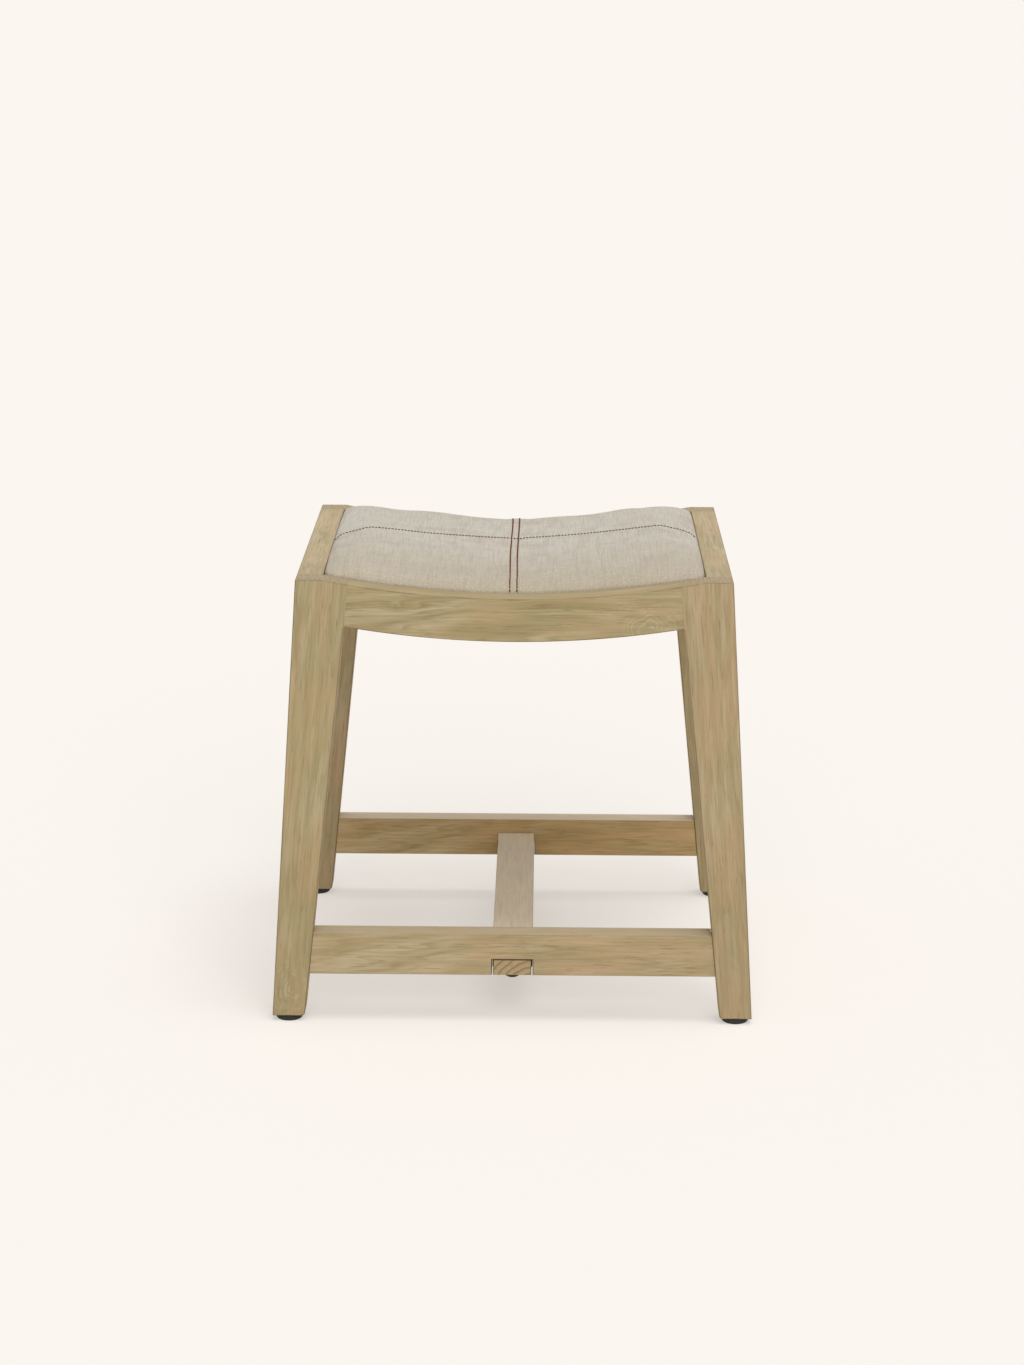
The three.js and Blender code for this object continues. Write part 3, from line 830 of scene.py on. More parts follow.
@dataclass(frozen=True)
class MouldedRubber(Finish):
    """Moulded black rubber: matt, with a faint grained skin and some floor dust.

    Attributes:
        grit: Size of the skin's grain, in millimetres.
        cloud: Size of a patch of dust.
        colours: Colours of the skin's hollows, of its crests and of the dust.
    """

    name: str = "moulded_black_rubber"
    grit: Size = (0.8, 0.8, 0.8)
    cloud: Size = (7.0, 7.0, 3.0)
    colours: tuple[str, str, str] = ("#161617", "#222223", "#3C3A37")

    def dress(self, tree: bpy.types.NodeTree, coords: Feed) -> dict[str, Feed]:
        """Make the pattern.

        Args:
            tree: The material's nodes.
            coords: Places on the stool, in metres.

        Returns:
            What goes into the shader, by socket.
        """
        hollow, crest, grey = (linear(colour) for colour in self.colours)
        skin = blots(tree, coords, self.grit, 2.0, 0.6)
        body = add(tree, "Mix", {0: skin, 6: hollow, 7: crest}, **COLOURS)
        dust = blots(tree, coords, self.cloud)
        dust = add(tree, "MapRange", [dust, 0.5, 0.8, 0.0, 0.25], **SMOOTH)
        body = add(tree, "Mix", {0: dust, 6: body, 7: grey}, **COLOURS)
        return {
            "Base Color": body,
            "Roughness": add(tree, "MapRange", [skin, 0.3, 0.7, 0.6, 0.78]),
            "IOR": 1.52,
            "Normal": add(tree, "Bump", {"Height": skin, "Distance": 0.08 * MM}),
        }


@dataclass(frozen=True)
class PlatedSteel(Finish):
    """Steel fixings with a thin skin: black oxide, near black and dull, or bright zinc, pale grey.

    Attributes:
        dark: Colour in the clouds of the skin.
        light: Colour between them.
        dull: Roughness of the smoothest part.
        metal: How metallic the skin is.
    """

    dark: str
    light: str
    dull: float
    metal: float

    def dress(self, tree: bpy.types.NodeTree, coords: Feed) -> dict[str, Feed]:
        """Make the pattern.

        Args:
            tree: The material's nodes.
            coords: Places on the stool, in metres.

        Returns:
            What goes into the shader, by socket.
        """
        cloud = blots(tree, coords, (1.5, 1.5, 1.5), 3.0)
        share = add(tree, "MapRange", [cloud, 0.35, 0.65], **SMOOTH)
        body = add(tree, "Mix", {0: share, 6: linear(self.dark), 7: linear(self.light)}, **COLOURS)
        return {
            "Base Color": body,
            "Metallic": self.metal,
            "Roughness": add(tree, "MapRange", [cloud, 0.3, 0.7, self.dull, self.dull + 0.15]),
            "Normal": add(tree, "Bump", {"Height": cloud, "Distance": 0.02 * MM}),
        }


BLACK_OXIDE = PlatedSteel("black_oxide_steel", "#1A1A1C", "#323235", 0.38, 0.8)
BRIGHT_ZINC = PlatedSteel("bright_zinc_plate", "#B4B6B9", "#CACBC8", 0.26, 1.0)


# Pieces


def own_piece(
    name: str, mesh: bpy.types.Mesh, material: bpy.types.Material
) -> bpy.types.Object:
    """Put a finished mesh in the scene as a piece that rides on the stool.

    Args:
        name: The piece's name.
        mesh: Its mesh, in place.
        material: Its finish.

    Returns:
        The piece.
    """
    piece = bpy.data.objects.new(name, mesh)
    bpy.context.scene.collection.objects.link(piece)
    mesh.materials.clear()
    mesh.materials.append(material)
    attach(piece, "root")
    LOG.info("%s: %d faces", name, len(mesh.polygons))
    return piece


def mesh_of(made: bmesh.types.BMesh, name: str, sharp: float = 35.0) -> bpy.types.Mesh:
    """Turn a bmesh into a mesh that is smooth except at its sharp edges, and free the bmesh.

    Args:
        made: The bmesh.
        name: The mesh's name.
        sharp: Edges that turn by more degrees than this stay sharp.

    Returns:
        The mesh.
    """
    for face in made.faces:
        face.smooth = True
    for edge in made.edges:
        edge.smooth = not edge.is_manifold or edge.calc_face_angle() < math.radians(sharp)
    mesh = bpy.data.meshes.new(name)
    made.to_mesh(mesh)
    made.free()
    return mesh


def merged_copy(node: str) -> bmesh.types.BMesh:
    """Copy a node of the frame with its loose triangles merged into whole faces.

    Args:
        node: The node's name.

    Returns:
        The copy.
    """
    made = bmesh.new()
    made.from_mesh(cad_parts[node].data)
    bmesh.ops.remove_doubles(made, verts=made.verts[:], dist=0.01 * MM)
    tolerance = math.radians(0.3)
    bmesh.ops.dissolve_limit(made, angle_limit=tolerance, verts=made.verts[:], edges=made.edges[:])
    return made


def surface_tree(nodes: list[str]) -> BVHTree:
    """Build a tree for finding the nearest point on any of several nodes.

    Args:
        nodes: Names of the nodes.

    Returns:
        The tree.
    """
    made = bmesh.new()
    for node in nodes:
        made.from_mesh(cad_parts[node].data)
    tree = BVHTree.FromBMesh(made)
    made.free()
    return tree


def distance_to(tree: BVHTree, point: Vector) -> float:
    """Measure how far a point lies from a surface, without end where there is no surface."""
    distance = tree.find_nearest(point)[3]
    return math.inf if distance is None else distance


def below(surface: BVHTree, x: float, y: float) -> tuple[Vector | None, Vector | None]:
    """Look straight down on a surface from high above a place.

    Args:
        surface: The surface.
        x: The place, left to right.
        y: The place, front to rear.

    Returns:
        The first point that is met and the surface's normal there, if any.
    """
    return surface.ray_cast(Vector((x, y, HIGH_ABOVE)), -Vector(UP))[:2]


def cut_across(
    made: bmesh.types.BMesh, faces: list[bmesh.types.BMFace], point: Size, normal: Size
) -> None:
    """Divide faces where a plane passes through them.

    Args:
        made: The body.
        faces: Those of its faces that are divided.
        point: A point on the plane.
        normal: The plane's normal.
    """
    edges = dict.fromkeys(edge for face in faces for edge in face.edges)
    verts = dict.fromkeys(vert for face in faces for vert in face.verts)
    geom = [*faces, *edges, *verts]
    bmesh.ops.bisect_plane(made, geom=geom, plane_co=point, plane_no=normal)


def ease_free_edges(
    made: bmesh.types.BMesh, others: list[tuple[BVHTree, float]], ease: float
) -> None:
    """Round the sharp outer edges of a board, except those that lie on a neighbour.

    Args:
        made: The board. Its rounded faces get the attribute eased: 1, or -1 at a joint.
        others: The neighbours' surfaces, each with how close to it an edge stays crisp.
        ease: How far the edges are rounded.
    """
    layer = made.faces.layers.float.new("eased")
    closest = min(contact for _, contact in others)
    free = []
    for edge in made.edges:
        if not edge.is_manifold or edge.calc_face_angle_signed() < CREASE:
            continue
        middle = (edge.verts[0].co + edge.verts[1].co) / 2
        apart = all(distance_to(tree, middle) > contact for tree, contact in others)
        if edge.calc_length() > closest and apart:
            free.append(edge)
    eased = bmesh.ops.bevel(
        made,
        geom=free,
        offset=ease,
        offset_type="OFFSET",
        segments=3,
        profile=0.5,
        affect="EDGES",
        clamp_overlap=False,
        material=-1,
    )
    for face in eased["faces"]:
        middle = face.calc_center_median()
        at_joint = any(distance_to(tree, middle) < JOINT_REACH for tree, _ in others)
        face[layer] = -1.0 if at_joint else 1.0


def stand_in(
    made: bmesh.types.BMesh, node: str, material: bpy.types.Material
) -> bpy.types.Object:
    """Put an eased copy of a node in the node's place.

    Args:
        made: The copy.
        node: The node that it stands for.
        material: Its finish.

    Returns:
        The finished piece.
    """
    piece = own_piece(f"finished_{node}", mesh_of(made, node), material)
    piece.modifiers.new("even_normals", "WEIGHTED_NORMAL").keep_sharp = True
    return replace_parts(piece, node)


@dataclass
class Board:
    """One planed board of the stool: the frame's node with its free edges eased.

    Attributes:
        node: The node that it stands for.
        along: Direction of its grain.
        across: Direction of its width.
        grain: How it was cut, and the darkening and painted light and shade on it.
        ease: How far its free edges are rounded.
        contact: An edge this close to a neighbour, other than a leg, stays crisp.
        beside: More nodes that it lies against.
        joints: Heights where a joint begins, so that its edges are eased only up to there.
        glued: How far each end reaches on into the frame's joint gap.
    """

    node: str
    along: Size
    across: Size
    grain: Grain
    ease: float = 1.1 * MM
    contact: float = GLUED
    beside: tuple[str, ...] = ()
    joints: tuple[float, ...] = ()
    glued: float = 0.0

    def build(self, neighbours: list[str]) -> bpy.types.Object:
        """Make the board.

        Args:
            neighbours: Nodes that it may touch.

        Returns:
            The finished piece.
        """
        others = [node for node in neighbours if node != self.node]
        legs = surface_tree([node for node in others if node.endswith("_leg")])
        rest = [node for node in others if not node.endswith("_leg")]
        surfaces = [(legs, GLUED), (surface_tree([*rest, *self.beside]), self.contact)]
        made = merged_copy(self.node)
        for height in self.joints:
            cut_across(made, made.faces[:], (0.0, 0.0, height), UP)
        along = Vector(self.along).normalized()
        low, high = (corner.dot(along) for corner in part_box(self.node))
        for vert in made.verts:
            place = vert.co.dot(along)
            if min(place - low, high - place) < END_REACH:
                vert.co += along * math.copysign(self.glued, place - (low + high) / 2)
        ease_free_edges(made, surfaces, self.ease)
        return stand_in(made, self.node, self.finish().build())

    def finish(self) -> BleachedWood:
        """Give the board's own finish, with its grain turned to the board.

        Returns:
            The finish.
        """
        low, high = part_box(self.node)
        along = Vector(self.along).normalized()
        across = Vector(self.across)
        across = (across - along * across.dot(along)).normalized()
        turn = Matrix((across, along.cross(across), along)).transposed().to_euler()
        return BleachedWood(
            name=f"bleached_oiled_hardwood_{self.node}",
            centre=tuple((low + high) / 2),
            turn=tuple(turn),
            grain=self.grain,
        )


@dataclass
class EndFrame:
    """The two legs, the curved apron and the stretcher at one end of the stool.

    Attributes:
        end: Which end it is, front or rear.
        foot_shift: How far a leg's middle moves out across the stool from its top to its foot.
        end_shift: How far it moves out towards its own end.
        apron_end: Where the apron meets the legs, from the middle of the stool.
        apron_depth: Height of the apron.
    """

    end: str
    foot_shift: float = 37 * MM
    end_shift: float = 25 * MM
    apron_end: float = 165 * MM
    apron_depth: float = 43.5 * MM

    def boards(self) -> list[Board]:
        """List this end's boards with their figure.

        Returns:
            The boards.
        """
        return [self._leg("left", -1.0), self._leg("right", 1.0), self._apron(), self._stretcher()]

    def _leg(self, side: str, sign: float) -> Board:
        """Describe a leg: straight grain, with a swirl at the foot of the front left one.

        Args:
            side: Which side it is on, left or right.
            sign: Which way that side lies: -1 for left, 1 for right.

        Returns:
            The leg.
        """
        front = self.end == "front"
        toward = -1.0 if front else 1.0
        swirl = Knot((-4 * MM, -200 * MM), 17 * MM, 16 * MM, rings=0.7)
        joint = min(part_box(f"{side}_side_rail")[0].z, saddle(self.apron_end) - self.apron_depth)
        grain = Grain(
            pith=(sign * -95 * MM, 30 * MM),
            tilt=(0.0, 0.012 * sign),
            tone=Tone.GREEN if front == (sign < 0) else Tone.SANDY,
            ring=5.0 * MM,
            figure=0.5,
            knots=(swirl,) if front and sign < 0 else (),
            low_darkening=0.2,
            joint_stain_and_shade=0.45,
        )
        return Board(
            f"{self.end}_{side}_leg",
            along=(-sign * self.foot_shift, -toward * self.end_shift, FRAME_HEIGHT),
            across=RIGHT,
            grain=grain,
            joints=(joint - 0.5 * MM,),
        )

    def _apron(self) -> Board:
        """Describe the apron: long flames, and a knot near each end.

        Returns:
            The apron.
        """
        knots = (
            Knot((7 * MM, -118 * MM), 6 * MM, 5 * MM, heart=0.5),
            Knot((-14 * MM, 135 * MM), 26 * MM, 10 * MM, rings=0.5),
        )
        grain = Grain(
            pith=(-16 * MM, 24 * MM),
            tilt=(0.03, 0.05),
            tone=Tone.GREEN,
            ring=5.6 * MM,
            figure=0.8,
            knots=knots,
            # Painted shade: the apron's upper faces are darkened against the overhead lamp.
            top=("#978561", 0.45),
        )
        return Board(
            f"{self.end}_apron",
            along=RIGHT,
            across=UP,
            grain=grain,
            beside=("seat_cover",),
            glued=0.24 * MM,
        )

    def _stretcher(self) -> Board:
        """Describe the stretcher: flames that sweep up from its left end.

        Returns:
            The stretcher.
        """
        grain = Grain(
            pith=(-20 * MM, 22 * MM),
            tilt=(-0.05, 0.2),
            tone=Tone.SANDY if self.end == "front" else Tone.BROWN,
            ring=9.0 * MM,
            figure=0.55,
            # Painted light: paler, greyer upper faces, as a painted sheen on the front stretcher
            # and lifted light in the seat's shade on the rear one.
            top=("#BCAC93", 0.5) if self.end == "front" else ("#EFE3CF", 0.6),
            edge_shade=0.3,
        )
        return Board(
            f"{self.end}_stretcher",
            along=RIGHT,
            across=UP,
            grain=grain,
            ease=0.8 * MM,
            contact=TOUCHING,
        )


@dataclass
class LengthwiseBoards:
    """The side rails at the top and the cross stretcher near the floor, which run front to rear.

    Attributes:
        rail_tone: Body colour of the rails.
        cross_tone: Body colour of the cross stretcher.
    """

    rail_tone: Tone = Tone.FADED
    cross_tone: Tone = Tone.GREYISH

    def boards(self) -> list[Board]:
        """List the boards with their figure.

        Returns:
            The boards.
        """
        return [self._rail("left", -1.0), self._rail("right", 1.0), self._cross()]

    def _rail(self, side: str, sign: float) -> Board:
        """Describe a side rail.

        Args:
            side: Which side it is on, left or right.
            sign: Which way that side lies: -1 for left, 1 for right.

        Returns:
            The rail.
        """
        grain = Grain(
            pith=(-30 * MM, sign * 12 * MM),
            tilt=(0.04, 0.02),
            tone=self.rail_tone,
            ring=5.0 * MM,
            figure=0.5,
        )
        return Board(f"{side}_side_rail", along=BACK, across=UP, grain=grain, glued=0.24 * MM)

    def _cross(self) -> Board:
        """Describe the cross stretcher, plainer than the rest.

        Returns:
            The cross stretcher.
        """
        grain = Grain(
            pith=(30 * MM, 30 * MM),
            tilt=(0.03, 0.02),
            tone=self.cross_tone,
            ring=6.5 * MM,
            figure=0.4,
            ends=("#B5996B", "#A08257", "#6F5630"),
            # Painted light: paler upper faces, lifted against the seat's shade.
            top=("#E9DCC6", 0.5),
            wander=4 * MM,
            uneven=0.5,
            edge_shade=0.3,
        )
        return Board(
            "cross_stretcher",
            along=BACK,
            across=RIGHT,
            grain=grain,
            ease=0.7 * MM,
            contact=TOUCHING,
        )


@dataclass
class SeatSupport:
    """The bent plywood board, the corner blocks that carry it, and the dowels of the joints.

    Attributes:
        ease: How far the edges of the blocks and of the board are rounded.
    """

    ease: float = 0.6 * MM

    def build(self, neighbours: list[str]) -> None:
        """Make the blocks and the board, and finish the dowels.

        Args:
            neighbours: Nodes that a block may touch.
        """
        beech = RawBeech().build()
        others = [(surface_tree(neighbours), TOUCHING)]
        for corner in CORNERS:
            self._copy(f"{corner}_corner_block", others, beech)
            for joint in ("apron_dowel", "rail_dowel"):
                for place in ("upper", "lower"):
                    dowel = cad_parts[f"{corner}_{joint}_{place}"]
                    dowel.data.materials.clear()
                    dowel.data.materials.append(beech)
                    LOG.info("%s: %d faces", dowel.name, len(dowel.data.polygons))
        self._copy("seat_board", others, BirchPly().build())

    def _copy(
        self,
        node: str,
        others: list[tuple[BVHTree, float]],
        material: bpy.types.Material,
    ) -> None:
        """Stand an eased copy in for a node.

        Args:
            node: The node.
            others: The neighbours' surfaces, each with how close to it an edge stays crisp.
            material: The copy's finish.
        """
        made = merged_copy(node)
        ease_free_edges(made, others, self.ease)
        stand_in(made, node, material)


# Turned pieces


def spun(profile: list[tuple[float, float]], steps: int) -> bmesh.types.BMesh:
    """Spin a closed profile once round the upright axis.

    Args:
        profile: Radius and height of each point, in order round the profile. A point on the axis
            has no radius.
        steps: How many sides the round has.

    Returns:
        The closed body, with its faces outwards.
    """
    made = bmesh.new()
    points = [made.verts.new((radius, 0.0, height)) for radius, height in profile]
    edges = [made.edges.new(pair) for pair in zip(points, points[1:])]
    if all(radius > 0 for radius, _ in profile):
        edges.append(made.edges.new((points[-1], points[0])))
    bmesh.ops.spin(
        made,
        geom=points + edges,
        axis=(0, 0, 1),
        cent=(0, 0, 0),
        steps=steps,
        angle=2 * math.pi,
        use_merge=True,
    )
    bmesh.ops.remove_doubles(made, verts=made.verts[:], dist=0.005 * MM)
    bmesh.ops.recalc_face_normals(made, faces=made.faces[:])
    return made


def quarter(radius: float, height: float, steps: int) -> list[tuple[float, float]]:
    """Give a quarter of an ellipse from the axis at the top down to the full radius at zero.

    Args:
        radius: Its half width.
        height: Its height at the axis.
        steps: How many parts it has.

    Returns:
        Radius and height of each point but the last.
    """
    turns = [math.pi / 2 * i / steps for i in range(steps)]
    return [(radius * math.sin(a), height * math.cos(a)) for a in turns]


def mouth_of(
    made: bmesh.types.BMesh,
) -> tuple[bmesh.types.BMVert, list[bmesh.types.BMVert]]:
    """Find where a recess goes into a head.

    Args:
        made: The head, on its axis and up.

    Returns:
        The vertex in the middle of its top, and the ring of vertices round that one.
    """
    top = max(made.verts, key=lambda vert: vert.co.z - vert.co.xy.length)
    return top, [edge.other_vert(top) for edge in top.link_edges]


def press_in(
    made: bmesh.types.BMesh, top: bmesh.types.BMVert, depth: float, taper: float
) -> None:
    """Press the faces round a vertex down into a head.

    Args:
        made: The head.
        top: The vertex.
        depth: Depth of the recess.
        taper: Width of its floor against that of its mouth.
    """
    faces = list(top.link_faces)
    pressed = bmesh.ops.extrude_face_region(made, geom=faces)
    bmesh.ops.delete(made, geom=faces, context="FACES")
    for part in pressed["geom"]:
        if isinstance(part, bmesh.types.BMVert):
            part.co.z -= depth
            part.co.xy *= taper


@dataclass
class Foot:
    """A moulded rubber foot: a disc with a rounded rim, a bore for its screw and a tread groove.

    Attributes:
        corner: The leg that it is under.
        radius: Its radius.
        rim: Radius of its lower rim.
        hole: Radius of the hole for the shank.
        bore: Radius of the bore for the head.
        bore_depth: Depth of that bore.
        chamfer: Width of the bore's bevelled edge.
        step: How far the collar at the top steps in.
        collar: How far below the top the step ends and starts.
        groove: Middle radius, half width and depth of the groove in the tread.
        rim_parts: How many flats make up the rim.
    """

    corner: str
    radius: float = 13.5 * MM
    rim: float = 1.8 * MM
    hole: float = 2.2 * MM
    bore: float = 4.3 * MM
    bore_depth: float = 2.9 * MM
    chamfer: float = 0.2 * MM
    step: float = 0.4 * MM
    collar: tuple[float, float] = (0.9 * MM, 1.1 * MM)
    groove: tuple[float, float, float] = (8.6 * MM, 0.7 * MM, 0.5 * MM)
    rim_parts: int = 6

    def build(self, rubber: bpy.types.Material) -> bpy.types.Object:
        """Make the foot.

        Args:
            rubber: Its finish.

        Returns:
            The piece.
        """
        node = f"{self.corner}_foot"
        low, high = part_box(node)
        top = high.z
        middle, half, depth = self.groove
        profile = [(self.hole, top), (self.hole, self.bore_depth), (self.bore, self.bore_depth)]
        profile += [(self.bore, self.chamfer), (self.bore + self.chamfer, 0.0)]
        profile += [(middle - half, 0.0)]
        profile += [(middle - half / 2, depth), (middle + half / 2, depth), (middle + half, 0.0)]
        inner = self.radius - self.rim
        for i in range(self.rim_parts + 1):
            angle = math.pi / 2 * i / self.rim_parts
            reach = inner + self.rim * math.sin(angle)
            profile.append((reach, self.rim * (1 - math.cos(angle))))
        neck = self.radius - self.step
        upper, lower = self.collar
        profile += [(self.radius, top - lower), (neck, top - upper), (neck, top)]
        made = spun(profile, steps=56)
        spot = ((low.x + high.x) / 2, (low.y + high.y) / 2, 0.0)
        bmesh.ops.translate(made, vec=spot, verts=made.verts[:])
        piece = own_piece(f"moulded_{node}", mesh_of(made, node), rubber)
        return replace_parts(piece, node)


@dataclass
class WoodScrew:
    """A pan head wood screw with a cross recess and a cut thread.

    Attributes:
        node: The node that it stands for.
        aim: Direction from its head to its point.
        shank: Radius of its thread.
        core: Radius between the threads.
        head: Radius of its head.
        head_height: Height of its head.
        pitch: Distance between two threads.
        neck: Length of the plain shank under the head.
        point: Length of its point.
        recess: Reach, half width and depth of the cross.
        taper: Width of the cross at its floor against that at its mouth.
    """

    node: str
    aim: Size
    shank: float = 1.85 * MM
    core: float = 1.35 * MM
    head: float = 3.8 * MM
    head_height: float = 1.9 * MM
    pitch: float = 2.2 * MM
    neck: float = 2.5 * MM
    point: float = 3.0 * MM
    recess: tuple[float, float, float] = (1.9 * MM, 0.5 * MM, 1.3 * MM)
    taper: float = 0.55

    def build(self, zinc: bpy.types.Material) -> bpy.types.Object:
        """Make the screw.

        Args:
            zinc: Its finish.

        Returns:
            The piece.
        """
        low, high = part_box(self.node)
        aim = Vector(self.aim)
        length = abs((high - low).dot(aim)) - self.head_height
        made = spun(self._profile(length), steps=24)
        self._cut_recess(made)
        middle = (low + high) / 2
        start = min((low, high), key=lambda corner: corner.dot(aim))
        seat = middle + aim * (start.dot(aim) - middle.dot(aim) + self.head_height)
        turn = aim.to_track_quat("-Z", "Y").to_matrix().to_4x4()
        bmesh.ops.transform(made, matrix=Matrix.Translation(seat) @ turn, verts=made.verts[:])
        piece = own_piece(f"turned_{self.node}", mesh_of(made, self.node), zinc)
        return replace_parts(piece, self.node)

    def _profile(self, length: float) -> list[tuple[float, float]]:
        """Draw the screw from the middle of its head to its point, head up.

        Args:
            length: Length below the head.

        Returns:
            Radius and height of each point.
        """
        reach = self.recess[0]
        dome = [p for p in quarter(self.head, self.head_height, 8) if p[0] > reach * 1.15]
        profile = [(0.0, self.head_height), (reach * 1.1, self.head_height * 0.97), *dome]
        profile += [(self.head, 0.0), (self.shank, 0.0), (self.shank, -self.neck)]
        depth = self.neck
        while depth + self.pitch < length - self.point:
            profile += [(self.core, -depth - self.pitch * share) for share in (0.3, 0.7)]
            depth += self.pitch
            profile.append((self.shank, -depth))
        return [*profile, (self.core, -length + self.point * 0.8), (0.0, -length)]

    def _cut_recess(self, made: bmesh.types.BMesh) -> None:
        """Press a tapered cross into the head: the ring round the middle takes its outline.

        Args:
            made: The screw, head up.
        """
        reach, half, depth = self.recess
        top, ring = mouth_of(made)
        for vert in ring:
            outwards = vert.co.xy.normalized()
            across = min(abs(outwards.x), abs(outwards.y))
            vert.co.xy = outwards * min(reach, half / max(across, 1e-6))
        press_in(made, top, depth, self.taper)


@dataclass
class LapBolt:
    """A black button head bolt under a tongue of the cross stretcher.

    Attributes:
        end: The end of the stool that it is at.
        head: Radius of its head.
        head_height: Height of its head.
        shank: Radius of its shank.
        chamfer: Width of the bevel at the shank's end.
        socket: Half width across the flats and depth of its hexagon socket.
    """

    end: str
    head: float = 8.8 * MM
    head_height: float = 5.5 * MM
    shank: float = 3.0 * MM
    chamfer: float = 0.6 * MM
    socket: tuple[float, float] = (2.5 * MM, 2.6 * MM)

    def build(self, steel: bpy.types.Material) -> bpy.types.Object:
        """Make the bolt.

        Args:
            steel: Its finish.

        Returns:
            The piece.
        """
        node = f"{self.end}_lap_bolt"
        low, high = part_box(node)
        length = high.z - low.z - self.head_height
        flats, depth = self.socket
        dome = [p for p in quarter(self.head, self.head_height, 12) if p[0] > flats * 1.3]
        profile = [(0.0, self.head_height), (flats * 1.25, self.head_height * 0.98), *dome]
        profile += [(self.head, 0.0), (self.shank, 0.0), (self.shank, -length + self.chamfer)]
        profile += [(self.shank - self.chamfer, -length), (0.0, -length)]
        made = spun(profile, steps=48)
        top, ring = mouth_of(made)
        for vert in ring:
            angle = math.atan2(vert.co.y, vert.co.x) % (math.pi / 3) - math.pi / 6
            vert.co.xy = vert.co.xy.normalized() * (flats / math.cos(angle))
        press_in(made, top, depth, 1.0)
        seat = Vector(((low.x + high.x) / 2, (low.y + high.y) / 2, low.z + self.head_height))
        turn = Matrix.Rotation(math.pi, 4, "X")
        bmesh.ops.transform(made, matrix=Matrix.Translation(seat) @ turn, verts=made.verts[:])
        piece = own_piece(f"turned_{node}", mesh_of(made, node), steel)
        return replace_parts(piece, node)


@dataclass
class Fixings:
    """The feet, the screws and the bolts."""

    def build(self) -> None:
        """Make all of them."""
        rubber = MouldedRubber().build()
        zinc = BRIGHT_ZINC.build()
        for corner in CORNERS:
            end, side = corner.split("_")
            outwards = (-1.0 if side == "left" else 1.0, 0.0, 0.0)
            endwards = (0.0, -1.0 if end == "front" else 1.0, 0.0)
            Foot(corner).build(rubber)
            WoodScrew(f"{corner}_block_rail_screw", outwards).build(zinc)
            WoodScrew(f"{corner}_block_leg_screw", endwards).build(zinc)
            WoodScrew(f"{corner}_seat_screw", UP).build(zinc)
            WoodScrew(f"{corner}_foot_screw", UP).build(zinc)
        oxide = BLACK_OXIDE.build()
        for end in ("front", "rear"):
            LapBolt(end).build(oxide)


# The padded seat

CLOTH = {
    "quality": 5,
    "mass": 0.3,
    "tension_stiffness": 20.0,
    "compression_stiffness": 20.0,
    "shear_stiffness": 8.0,
    "bending_stiffness": 0.8,
    "vertex_group_mass": "held",
    "use_pressure": True,
    "uniform_pressure_force": 4.0,
}
CLOTH_STEPS = 20


